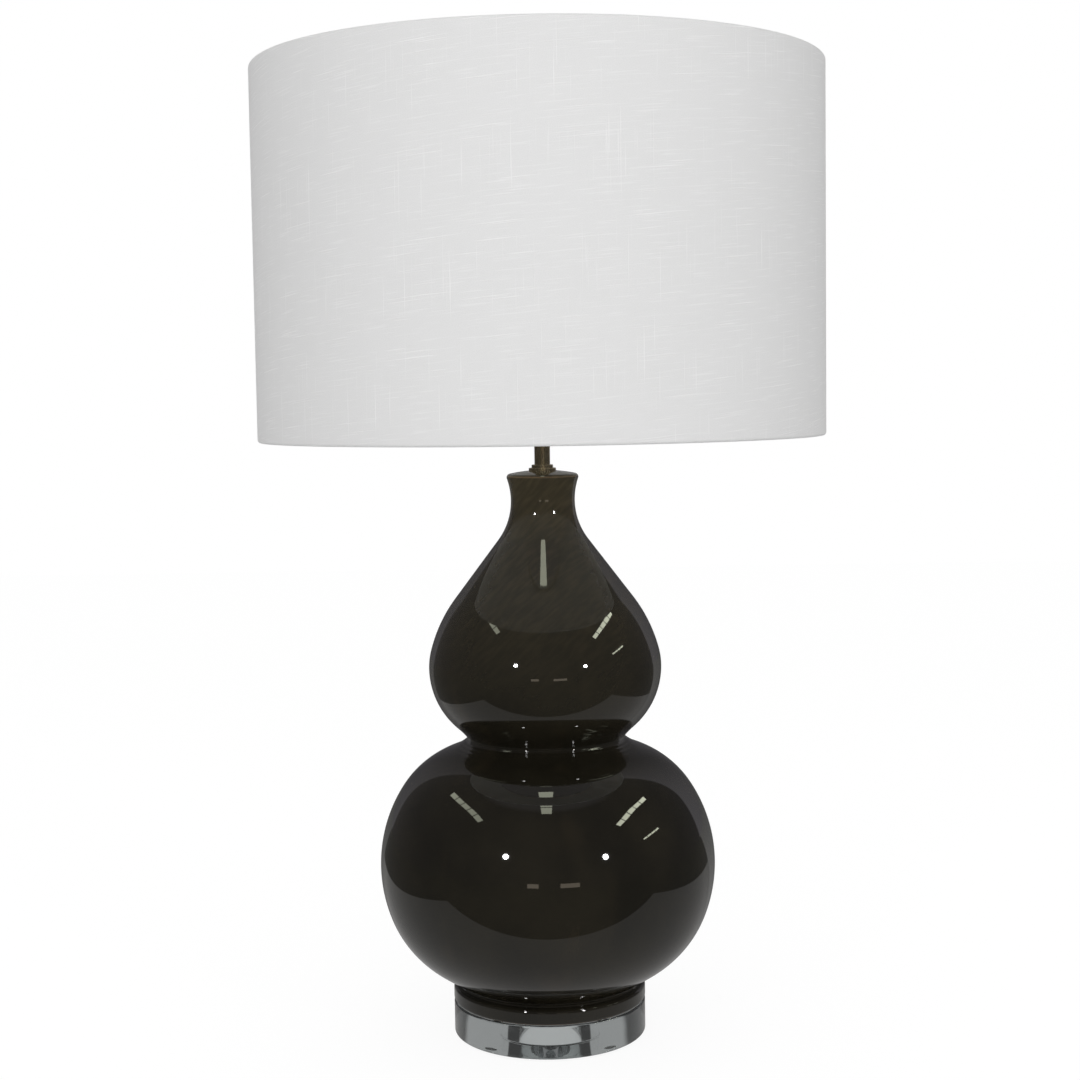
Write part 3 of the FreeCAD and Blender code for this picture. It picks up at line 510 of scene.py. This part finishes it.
# Heights on the glaze where its colour changes, among them where painted light fades in up the bulb
# and the neck
BULB_FADE = (0.25, 0.40)
NECK_FADE = (0.39, 0.45)
LIP_BAND = (0.4530, 0.4550)
LIP_EDGE = 0.0012
FOOT_FADE = (0.0294, 0.0304)


def glaze_material():
    """Dark olive-brown glaze, with painted light making it lighter and browner up the bulb and the
    neck, and with faint slanted brush marks.

    A brown band runs round the lip, and the glaze stops short of the foot's edge.
    """
    made, tree, shader, place = material("glaze_finish", Roughness=0.03, IOR=1.5)
    z = axis_of(tree, place, "Z")
    brush = noise(tree, place, 60, 6, (1, 1, 5), (0.3, 0.75, 0))
    cloud = noise(tree, place, 12, 3)
    drip = noise(tree, place, 30, 2, (1, 1, 0.2))
    dark = mix(tree, remap(tree, cloud, 0.35, 0.65), rgb(25, 23, 17), rgb(35, 32, 24))
    dark = mix(tree, remap(tree, drip, 0.58, 0.75, 0, 0.4), dark, rgb(46, 40, 29))
    # Painted light: the upper bulb, and more so the neck, are painted lighter where light falls on
    # them
    light = mix(tree, remap(tree, brush, 0.35, 0.7), rgb(45, 42, 32), rgb(54, 49, 37))
    neck_painted_light = mix(tree, remap(tree, brush, 0.35, 0.7), rgb(65, 59, 44), rgb(77, 69, 51))
    body = mix(tree, remap(tree, z, *BULB_FADE), dark, light)
    body = mix(tree, remap(tree, z, *NECK_FADE), body, neck_painted_light)
    lip = maths(tree, "MULTIPLY", between(tree, z, *LIP_BAND, LIP_EDGE), cloud)
    body = mix(tree, lip, body, rgb(140, 112, 78))
    body = mix(tree, remap(tree, z, *FOOT_FADE, 1.0, 0.0), body, rgb(104, 86, 70))
    tree.links.new(body, shader.inputs["Base Color"])
    bump(tree, shader, noise(tree, place, 9, 2, (1, 1, 3)), 0.12)
    return made


WEAVE_PITCH = 0.62  # mm


def linen_material():
    """Plain-woven linen: a fine weave with slubs along both threads."""
    made, tree, shader, _ = material("linen_finish", Roughness=0.9, IOR=1.35, Sheen_Weight=0.12)
    cloth = tree.nodes.new("ShaderNodeUVMap").outputs[0]
    weft = noise(tree, cloth, 1.0, 1.0, (17, 1150, 1))
    warp = noise(tree, cloth, 1.0, 1.0, (1050, 14, 1))
    faint = noise(tree, cloth, 1.0, 1.0, (30, 800, 1))
    grain = noise(tree, cloth, 1.0, 1.0, (1500, 1500, 1))
    across = waves(tree, cloth, WEAVE_PITCH, "X", 0.6)
    along = waves(tree, cloth, WEAVE_PITCH, "Y", 0.6)
    weave = maths(tree, "MULTIPLY", across, along)
    ground = mix(tree, remap(tree, grain, 0.3, 0.7), rgb(236, 236, 236), rgb(242, 242, 242))
    ground = mix(tree, remap(tree, weave, 0.0, 1.0, 0.0, 0.5), ground, rgb(232, 231, 230))
    body = mix(tree, remap(tree, faint, 0.58, 0.72, 0, 0.5), ground, rgb(249, 249, 249))
    body = mix(tree, remap(tree, weft, 0.66, 0.76), body, rgb(255, 255, 255))
    body = mix(tree, remap(tree, warp, 0.65, 0.77, 0, 0.8), body, rgb(254, 254, 254))
    tree.links.new(body, shader.inputs["Base Color"])
    slubs = maths(tree, "MAXIMUM", remap(tree, weft, 0.62, 0.8), remap(tree, warp, 0.62, 0.8))
    under = bump(tree, shader, slubs, 0.10)
    bump(tree, shader, weave, 0.06, under)
    return made


POCKET_SLACK = 0.4  # mm
GROUND_DEPTH = 0.001
GROUND_EDGE = 0.0005


def crystal_material():
    """Polished clear crystal. The flat end of its pocket is left ground."""
    made, tree, shader, place = material("crystal_finish", Roughness=0.0, IOR=1.52)
    apart = add(tree, "ShaderNodeVectorMath", {0: place, 1: (1, 1, 0)}, operation="MULTIPLY")
    apart = add(tree, "ShaderNodeVectorMath", {0: apart.outputs[0]}, operation="LENGTH")
    apart = maths(tree, "LESS_THAN", apart.outputs["Value"], (POCKET_RADIUS - POCKET_SLACK) * MM)
    level = corners("base_washer")[1].z * MM
    z = axis_of(tree, place, "Z")
    ground = between(tree, z, level - GROUND_DEPTH, level + GROUND_DEPTH, GROUND_EDGE)
    ground = maths(tree, "MULTIPLY", apart, ground)
    grain = noise(tree, place, 900, 3)
    pale = mix(tree, grain, rgb(196, 199, 200), rgb(236, 238, 239))
    tree.links.new(mix(tree, ground, rgb(220, 225, 225), pale), shader.inputs["Base Color"])
    tree.links.new(remap(tree, ground, 0, 1, 0, 0.45), shader.inputs["Roughness"])
    weight = remap(tree, ground, 0, 1, 1.0, 0.35)
    tree.links.new(weight, shader.inputs["Transmission Weight"])
    return made


def plain(name, colour, speck, roughness, metallic):
    """A finish with two close colours, uneven roughness and a fine grain."""
    made, tree, shader, place = material(name, Metallic=metallic)
    cloud = noise(tree, place, 60, 4)
    body = mix(tree, remap(tree, cloud, 0.3, 0.7), rgb(*colour), rgb(*speck))
    tree.links.new(body, shader.inputs["Base Color"])
    patchy = noise(tree, place, 180, 3)
    spread = remap(tree, patchy, 0.3, 0.7, roughness * 0.8, roughness * 1.25)
    tree.links.new(spread, shader.inputs["Roughness"])
    bump(tree, shader, noise(tree, place, 1200, 2), 0.02)
    return made


def bronze_material():
    """Antique brass: patchy brown and rubbed paler, and drawn along its length."""
    made, tree, shader, place = material("bronze_finish", Metallic=1.0)
    drawn = noise(tree, place, 900, 2, (1, 1, 0.03))
    worn = noise(tree, place, 70, 4)
    body = mix(tree, remap(tree, worn, 0.35, 0.65), rgb(148, 136, 110), rgb(184, 171, 141))
    body = mix(tree, remap(tree, drawn, 0.3, 0.7, 0, 0.35), body, rgb(112, 100, 77))
    tree.links.new(body, shader.inputs["Base Color"])
    tree.links.new(remap(tree, drawn, 0.3, 0.7, 0.22, 0.34), shader.inputs["Roughness"])
    bump(tree, shader, drawn, 0.01)
    return made


PIPE_PITCH = 1.0  # mm


def pipe_material():
    """Zinc-plated steel with a fine cut thread, with painted shade darkening its grooves."""
    made, tree, shader, place = material("pipe_finish", Metallic=1.0, Roughness=0.28)
    cloud = noise(tree, place, 60, 4)
    body = mix(tree, remap(tree, cloud, 0.3, 0.7), rgb(176, 178, 180), rgb(206, 208, 210))
    turns = waves(tree, place, PIPE_PITCH, "Z")
    # Painted shade: the thread's grooves are painted dark
    body = mix(tree, remap(tree, turns, 0.0, 0.3, 0.55, 0.0), body, rgb(60, 60, 62))
    tree.links.new(body, shader.inputs["Base Color"])
    bump(tree, shader, turns, 0.5)
    return made


def globe_material():
    """Frosted glass, white all through."""
    glass = {"Roughness": 0.42, "IOR": 1.5, "Subsurface_Weight": 0.3, "Subsurface_Scale": 0.004}
    made, tree, shader, place = material("globe_finish", **glass)
    body = mix(tree, noise(tree, place, 25, 3), rgb(236, 236, 234), rgb(243, 243, 241))
    tree.links.new(body, shader.inputs["Base Color"])
    bump(tree, shader, noise(tree, place, 1800, 2), 0.01)
    return made


# --------------------------------------------------------------------------- studio
# The photograph's size and focal length in pixels, the camera's place in mm, its turns in
# degrees, its sensor in mm, and the nearest distance that it sees
PHOTO_SIZE = 1080
PHOTO_FOCAL = 1908.3
CAMERA_PLACE = (-2.7, -1528.07, 524.9)
CAMERA_PITCH = 4.584
CAMERA_ROLL = 0.82
SENSOR = 36.0
NEAREST = 0.05


def camera():
    """The photograph's camera."""
    data = bpy.data.cameras.new("camera")
    made = bpy.data.objects.new("camera", data)
    scene.collection.objects.link(made)
    data.sensor_width = SENSOR
    data.lens = data.sensor_width * PHOTO_FOCAL / PHOTO_SIZE
    data.clip_start = NEAREST
    pitch = Matrix.Rotation(math.radians(90 - CAMERA_PITCH), 4, "X")
    roll = Matrix.Rotation(math.radians(-CAMERA_ROLL), 4, "Z")
    made.matrix_world = Matrix.Translation(Vector(CAMERA_PLACE) * MM) @ pitch @ roll
    scene.camera = made


AIM = (0, 0, 0.35)


def lamp(name, place, radiance, size, at=AIM):
    """Soft light of that (width, depth), aimed at a point; radiance 1 looks white in a mirror."""
    data = bpy.data.lights.new(name, "AREA")
    data.shape = "DISK" if size[0] == size[1] else "RECTANGLE"
    data.size, data.size_y = size
    area = size[0] * size[1] * (math.pi / 4 if data.shape == "DISK" else 1.0)
    data.energy = radiance * math.pi * area
    made = bpy.data.objects.new(name, data)
    scene.collection.objects.link(made)
    made.location = place
    made.rotation_euler = (Vector(at) - Vector(place)).to_track_quat("-Z", "Y").to_euler()
    made.visible_camera = False
    made.visible_transmission = False
    return made


CEILING = 2.4
CEILING_COLOUR = (0.96, 1.0, 0.78)
PANEL = 0.40
PANEL_GAP = 0.045
PANEL_WIDTH = 0.28
# Rows of ceiling panels: (x, first y, panels, radiance)
ROWS = (
    (-0.02, -1.54, 3, 4.5),
    (-2.27, -1.35, 5, 3.8),
    (2.68, -1.60, 5, 10.0),
    (5.82, -1.72, 4, 10.0),
)


def ceiling():
    """Rows of ceiling lights that only the glossy surfaces show."""
    for row, (x, first, count, radiance) in enumerate(ROWS):
        for i in range(count):
            y = first + PANEL / 2 + i * (PANEL + PANEL_GAP)
            name = f"ceiling_{row}_{i}"
            made = lamp(name, (x, y, CEILING), radiance, (PANEL_WIDTH, PANEL), (x, y, 0))
            made.data.color = CEILING_COLOUR
            made.visible_diffuse = False


# Two flashes, each with a smaller and brighter spot that only glossy surfaces show
FLASHES = (("left", (-1.77, -3.13, 1.48)), ("right", (2.345, -2.80, 1.28)))
KEY_RADIANCE = 45
KEY_SIZE = (0.26, 0.26)
SPARK_RADIANCE = 240
SPARK_SIZE = (0.22, 0.22)
SPARK_NEARER = 0.99
# Fill that no glossy surface shows
FILL_PLACE = (0.0, -3.6, 1.6)
FILL_RADIANCE = 2.1
FILL_SIZE = (2.2, 2.2)
# Low warm lights that only glossy surfaces show: (side, x, width)
GLOWS = (("left", -0.60, 0.45), ("right", 0.86, 0.80))
GLOW_Y = -3.4
GLOW_LEVEL = 0.105
GLOW_RADIANCE = 1.7
GLOW_TALL = 0.20
GLOW_COLOUR = (1.0, 0.86, 0.68)


def lights():
    """The flashes, the fill and the low warm lights, all in front of the lamp."""
    for side, place in FLASHES:
        lamp(f"key_{side}", place, KEY_RADIANCE, KEY_SIZE)
        nearer = [SPARK_NEARER * part for part in place]
        spark = lamp(f"spark_{side}", nearer, SPARK_RADIANCE, SPARK_SIZE)
        spark.visible_diffuse = False
    fill = lamp("front_fill", FILL_PLACE, FILL_RADIANCE, FILL_SIZE)
    fill.visible_glossy = False
    for side, x, wide in GLOWS:
        place = (x, GLOW_Y, GLOW_LEVEL)
        at = (x, 0, GLOW_LEVEL)
        glow = lamp(f"glow_{side}", place, GLOW_RADIANCE, (wide, GLOW_TALL), at)
        glow.data.color = GLOW_COLOUR
        glow.visible_diffuse = False


WHITE = (1, 1, 1, 1)

# Light levels, where 1 is white. The glaze shows the room, the ceiling's glow, and the backdrop,
# which is darker in its middle and on its left. Crystal shows the room or pale surroundings.
ROOM = 0.10
CEILING_GLOW = 0.28
BACKDROP_SIDES = 0.42
BACKDROP_MIDDLE = 0.07
BACKDROP_LEFT = 0.6
BACKDROP_RIGHT = 0.95
GLASS_ROOM = 0.04
GLASS_PALE = 0.34
# GLASS_POCKET is the level of a painted pool of light on the floor under the crystal's pocket
GLASS_POCKET = 0.60
AMBIENT_FRONT = 0.62
AMBIENT_BACK = 0.48

# Direction of the backdrop's middle, the cosine of the angle from there to its sides, and how
# soft that edge is
BACKDROP_WAY = (0.096, 0.995, 0.0)
BACKDROP_EDGE = 0.737
EDGE_OUTSIDE = 0.02
EDGE_INSIDE = 0.01
GLASS_EDGE = 0.1

# Parts of a direction over which the levels change: right, back and up
SIDE_REACH = 0.3
BACK_REACH = 0.6
CEILING_START = 0.84
CEILING_FULL = 0.90


def backdrop_way(tree, place):
    """How near a direction or a place on the floor is to the backdrop's middle, from 1 down."""
    level = add(tree, "ShaderNodeVectorMath", {0: place, 1: (1, 1, 0)}, operation="MULTIPLY")
    level = add(tree, "ShaderNodeVectorMath", {0: level.outputs[0]}, operation="NORMALIZE")
    sockets = {0: level.outputs[0], 1: BACKDROP_WAY}
    return add(tree, "ShaderNodeVectorMath", sockets, operation="DOT_PRODUCT").outputs["Value"]


def backdrop(tree, place, near):
    """Light of the pale backdrop in glaze: brighter at its sides, and then the darker room."""
    sides, middle = BACKDROP_SIDES, BACKDROP_MIDDLE
    fall = remap(tree, near, BACKDROP_EDGE, 1.0, sides, middle, "LINEAR")
    seen = remap(tree, near, BACKDROP_EDGE - EDGE_OUTSIDE, BACKDROP_EDGE + EDGE_INSIDE)
    x = axis_of(tree, place, "X")
    side = remap(tree, x, -SIDE_REACH, SIDE_REACH, BACKDROP_LEFT, BACKDROP_RIGHT)
    return maths(tree, "MULTIPLY", maths(tree, "MULTIPLY", fall, seen), side)


def mix_shaders(tree, factor, a, b):
    """The shader a where the factor is 0, and b where it is 1."""
    return add(tree, "ShaderNodeMixShader", {0: factor, 1: a.outputs[0], 2: b.outputs[0]})


def by_ray(tree, output, others, glossy, transmitted, camera_ray):
    """Ends a tree in its output node, with a shader for each kind of ray."""
    path = tree.nodes.new("ShaderNodeLightPath")
    last = mix_shaders(tree, path.outputs["Is Glossy Ray"], others, glossy)
    last = mix_shaders(tree, path.outputs["Is Transmission Ray"], last, transmitted)
    last = mix_shaders(tree, path.outputs["Is Camera Ray"], last, camera_ray)
    add(tree, output, {0: last.outputs[0]})


def world():
    """White to the camera, and a room with a pale backdrop to glaze and crystal."""
    made = bpy.data.worlds.new("studio")
    scene.world = made
    made.use_nodes = True
    tree = made.node_tree
    tree.nodes.clear()
    direction = tree.nodes.new("ShaderNodeTexCoord").outputs["Generated"]
    y = axis_of(tree, direction, "Y")
    z = axis_of(tree, direction, "Z")
    near = backdrop_way(tree, direction)
    room = remap(tree, z, CEILING_START, CEILING_FULL, ROOM, CEILING_GLOW)
    pale = maths(tree, "MAXIMUM", backdrop(tree, direction, near), room)
    soft = remap(tree, y, -BACK_REACH, BACK_REACH, AMBIENT_FRONT, AMBIENT_BACK)
    edge = (BACKDROP_EDGE - GLASS_EDGE, BACKDROP_EDGE)
    through = remap(tree, near, *edge, GLASS_ROOM, GLASS_PALE)
    ambient = add(tree, "ShaderNodeBackground", {"Color": WHITE, "Strength": soft})
    mirrored = add(tree, "ShaderNodeBackground", {"Color": rgb(250, 247, 255), "Strength": pale})
    glass = add(tree, "ShaderNodeBackground", {"Color": WHITE, "Strength": through})
    white = add(tree, "ShaderNodeBackground", {"Color": WHITE, "Strength": 1.0})
    by_ray(tree, "ShaderNodeOutputWorld", ambient, mirrored, glass, white)


# The part of the floor that glaze shows as a pale table: its middle, half its width and its front
# edge, and its light at its sides and towards the backdrop
FLOOR_HALF = 4.0
TABLE_MIDDLE = 0.05
TABLE_SIDE = 0.56
TABLE_FRONT = -0.25
TABLE_LIGHT = 0.42
TABLE_BACK_LIGHT = 0.1
TABLE_FADE = (0.6, 0.9)
# White of the floor to the camera, and its share over the floor with the lamp's shadow
FLOOR_WHITE = 1.11
FLOOR_SHARE = 0.82


def floor():
    """Pale floor, white to the camera apart from the lamp's shadow. Glaze shows it as a table."""
    verts = [(x * FLOOR_HALF, y * FLOOR_HALF, 0) for x, y in ((-1, -1), (1, -1), (1, 1), (-1, 1))]
    made = mesh_object("floor", verts, [(0, 1, 2, 3)])
    finish = bpy.data.materials.new("floor_finish")
    finish.use_nodes = True
    tree = finish.node_tree
    tree.nodes.clear()
    place = tree.nodes.new("ShaderNodeTexCoord").outputs["Object"]
    aside = maths(tree, "SUBTRACT", axis_of(tree, place, "X"), TABLE_MIDDLE)
    inside = maths(tree, "LESS_THAN", maths(tree, "ABSOLUTE", aside), TABLE_SIDE)
    front = maths(tree, "GREATER_THAN", axis_of(tree, place, "Y"), TABLE_FRONT)
    table = maths(tree, "MULTIPLY", inside, front)
    near = backdrop_way(tree, place)
    lit = remap(tree, near, *TABLE_FADE, TABLE_LIGHT, TABLE_BACK_LIGHT)
    lit = maths(tree, "MULTIPLY", table, lit)
    shown = maths(tree, "MAXIMUM", lit, backdrop(tree, place, near))
    shown = maths(tree, "MAXIMUM", shown, ROOM)
    behind = remap(tree, near, BACKDROP_EDGE - GLASS_EDGE, BACKDROP_EDGE)
    bright = maths(tree, "MAXIMUM", table, behind)
    through = remap(tree, bright, 0.0, 1.0, GLASS_ROOM, GLASS_PALE)
    # A painted pool of light on the floor under the crystal's pocket, seen only by rays through the
    # crystal
    apart = add(tree, "ShaderNodeVectorMath", {0: place}, operation="LENGTH").outputs["Value"]
    pocket_light_pool = maths(tree, "LESS_THAN", apart, POCKET_RADIUS * MM)
    through = maths(tree, "MAXIMUM", through, maths(tree, "MULTIPLY", pocket_light_pool, GLASS_POCKET))
    pale = add(tree, "ShaderNodeBsdfDiffuse", {"Color": rgb(236, 236, 236)})
    white = add(tree, "ShaderNodeEmission", {"Color": WHITE, "Strength": FLOOR_WHITE})
    glass = add(tree, "ShaderNodeEmission", {"Color": WHITE, "Strength": through})
    mirrored = add(tree, "ShaderNodeEmission", {"Color": rgb(252, 251, 250), "Strength": shown})
    shadowed = mix_shaders(tree, FLOOR_SHARE, pale, white)
    refracted = mix_shaders(tree, FLOOR_SHARE, pale, glass)
    by_ray(tree, "ShaderNodeOutputMaterial", pale, mirrored, refracted, shadowed)
    made.data.materials.append(finish)


# --------------------------------------------------------------------------- finishes
# Plain finishes of material slots: name, two colours in sRGB, roughness, metallic
PLAIN = {
    "clear_rubber": ("rubber_finish", (214, 216, 214), (226, 228, 226), 0.3, 0.0),
    "clear_vinyl": ("vinyl_finish", (200, 204, 202), (216, 218, 216), 0.35, 0.0),
    "zinc_steel": ("zinc_finish", (176, 178, 180), (206, 208, 210), 0.25, 1.0),
    "bushing_plastic": ("bushing_finish", (24, 23, 21), (34, 33, 30), 0.45, 0.0),
    "screw_brass": ("screw_finish", (190, 152, 84), (206, 170, 100), 0.25, 1.0),
    "contact_brass": ("contact_brass_finish", (196, 160, 92), (212, 178, 110), 0.28, 1.0),
    "phenolic": ("phenolic_finish", (30, 22, 18), (40, 30, 24), 0.4, 0.0),
    "insulating_card": ("card_finish", (176, 158, 128), (190, 172, 142), 0.85, 0.0),
    "shade_sheet": ("sheet_finish", (234, 233, 231), (237, 236, 234), 0.4, 0.0),
    "white_wire": ("wire_finish", (222, 221, 218), (232, 231, 228), 0.35, 0.0),
    "bulb_black": ("bulb_black_finish", (20, 20, 22), (30, 30, 32), 0.3, 0.0),
    "bulb_aluminium": ("bulb_aluminium_finish", (190, 192, 194), (208, 210, 212), 0.3, 1.0),
    "bulb_white": ("bulb_white_finish", (232, 232, 230), (238, 238, 236), 0.35, 0.0),
}
SPECIAL = {
    "crystal": crystal_material,
    "glaze": glaze_material,
    "bronze": bronze_material,
    "linen": linen_material,
    "frosted_globe": globe_material,
}
finishes = {}


def finish_of(slot):
    """The finish of a material slot, made when it is first asked for."""
    if slot not in finishes:
        finishes[slot] = plain(*PLAIN[slot]) if slot in PLAIN else SPECIAL[slot]()
    return finishes[slot]


def dress(made, body, node, slot):
    """Puts a new piece in the place of a frame node, with the finish of its slot."""
    made.data.materials.clear()
    made.data.materials.append(finish_of(slot))
    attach(made, body)
    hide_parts(node)


def dress_frame():
    """Gives every frame node the finish of its slot, and the lamp pipe a thread."""
    for part in frame["record"]["subparts"]:
        mesh = nodes[part["node"]].data
        mesh.materials.clear()
        mesh.materials.append(finish_of(part["material_slot"]))
    pipe = nodes["lamp_rod"].data
    pipe.materials.clear()
    pipe.materials.append(pipe_material())


# --------------------------------------------------------------------------- pieces
def gourd():
    """The ceramic, with the hole for the cord bushing in the back of its belly."""
    made = lathe("gourd", gourd_outside() + gourd_inside(), even(AROUND), 40)
    low, high = corners("cord_bushing")
    way = normal(CORD_TURN)
    along = Vector((0, way[0], way[1]))
    middle = Vector((0, (low.y + high.y) / 2, (low.z + high.z) / 2))
    half = CORD_PIN_HALF
    ends = [(0.0, -half), (CORD_HOLE_RADIUS, -half), (CORD_HOLE_RADIUS, half), (0.0, half)]
    pin = lathe("pin", ends, even(PIN_AROUND))
    turned = along.to_track_quat("Z", "Y").to_matrix().to_4x4()
    pin.matrix_world = Matrix.Translation(middle * MM) @ turned
    bpy.context.view_layer.update()
    cut(made, pin)
    dress(made, "lamp_base", "gourd_body", "glaze")


def crystal():
    """The crystal disc, with its corners polished round."""
    low, high = corners("crystal_base")
    pocket = corners("base_washer")[1].z
    top, bottom, outer = CRYSTAL_TOP_ROUND, CRYSTAL_BOTTOM_ROUND, CRYSTAL_RADIUS
    points = line((ROD_HOLE_RADIUS, high.z), (outer - top, high.z), FLAT_STEP)
    points += arc((outer - top, high.z - top), top, 90, 0, FINE_STEP)[1:]
    points += arc((outer - bottom, low.z + bottom), bottom, 0, -90, FINE_STEP)
    edge = (POCKET_RADIUS + POCKET_ROUND, low.z + POCKET_ROUND)
    points += arc(edge, POCKET_ROUND, -90, -180, FINE_STEP / 2)
    points += [(POCKET_RADIUS, pocket), (ROD_HOLE_RADIUS, pocket)]
    made = lathe("crystal_disc", points, even(AROUND), 30)
    dress(made, "lamp_base", "crystal_base", "crystal")


def linen_angles():
    """Angles round the shade, closer together at the two edges of the lapped seam."""
    angles = even(LINEN_AROUND)
    for side in (-1, 1):
        for edge in (0.0, SEAM_EDGE):
            angles.append((side * (SEAM_WIDTH / 2 + edge) / SHADE_RADIUS) % (2 * math.pi))
    return sorted(angles)


def seam(angle, r, z):
    """Lifts the lapped end of the cloth at the back."""
    off = min(angle, 2 * math.pi - angle) * SHADE_RADIUS - SEAM_WIDTH / 2
    high = max(0.0, min(1.0, 1 - off / SEAM_EDGE))
    out = max(0.0, min(1.0, (r - SHADE_RADIUS + HEM_ROLL) / HEM_ROLL))
    return r + SEAM_RISE * high * out, z


def shade_linen():
    """One stretched sheet round the rings: rolled over each hem, its ends lapped at the back."""
    low, high = corners("shade_cover")
    roll = SHADE_RADIUS - HEM_ROLL
    profile = []
    for end, sign in ((low.z, -1), (high.z, 1)):
        middle = (roll, end - sign * HEM_ROLL)
        outside = arc(middle, HEM_ROLL, 0, sign * 180, ROLL_STEP)
        under = arc(middle, HEM_ROLL - LINEN, sign * 180, 0, ROLL_STEP)
        hem = end - sign * (HEM_ROLL + HEM_DEPTH)
        turned_in = [(roll - HEM_ROLL, hem), (roll - HEM_ROLL + LINEN, hem)]
        part = outside + turned_in + under
        profile.append(part if sign == 1 else part[::-1])
    bottom, top = profile
    outer_run = line(bottom[-1], top[0], LINEN_STEP)[1:-1]
    inner_run = line(top[-1], bottom[0], LINEN_STEP)[1:-1]
    made = lathe("shade_linen", bottom + outer_run + top + inner_run, linen_angles(), 50, seam)
    uv = made.data.uv_layers.new(name="cloth")
    slant = math.tan(math.radians(WEFT_SLANT))
    for face in made.data.polygons:
        turns = []
        for i in face.vertices:
            x, y, _ = made.data.vertices[i].co
            turns.append(math.atan2(x, -y))
        crosses = max(turns) - min(turns) > math.pi
        for loop, i, turn in zip(face.loop_indices, face.vertices, turns):
            if crosses and turn < 0:
                turn += 2 * math.pi
            across = turn * SHADE_RADIUS * MM
            uv.data[loop].uv = (across, made.data.vertices[i].co.z - across * slant)
    dress(made, "shade", "shade_cover", "linen")


def bulb_cap():
    """The bulb's screw cap, rolled into a thread whose crests keep the frame's radius."""
    low, high = corners("bulb_cap")
    crest = high.x
    neck = low.z + BULB_CAP_BEVEL
    points = [(0.0, low.z), (BULB_CONE_RADIUS, low.z)]
    points += line((crest, neck), (crest, high.z), THREAD_STEP) + [(0.0, high.z)]
    shape = thread(neck, high.z - THREAD_PITCH / 2, crest - THREAD_SLACK, -THREAD_DEPTH)
    made = lathe("bulb_screw_cap", points, even(THREAD_AROUND), 40, shape)
    dress(made, "bulb", "bulb_cap", "bulb_aluminium")


def screw_shell():
    """The holder's thread, rolled outwards so that the bulb still slides clear of it."""
    low, high = corners("screw_shell")
    outer = high.x
    inner = outer - SHELL_SHEET
    points = line((outer, low.z), (outer, high.z), THREAD_STEP)
    points += line((inner, high.z), (inner, low.z), THREAD_STEP)
    shape = thread(low.z, high.z, inner - THREAD_SLACK, THREAD_DEPTH / 2)
    made = lathe("screw_shell_thread", points, even(THREAD_AROUND), 40, shape)
    dress(made, "lamp_base", "screw_shell", "contact_brass")


scene.view_settings.view_transform = "Standard"
camera()
world()
floor()
lights()
ceiling()
dress_frame()
gourd()
crystal()
shade_linen()
bulb_cap()
screw_shell()
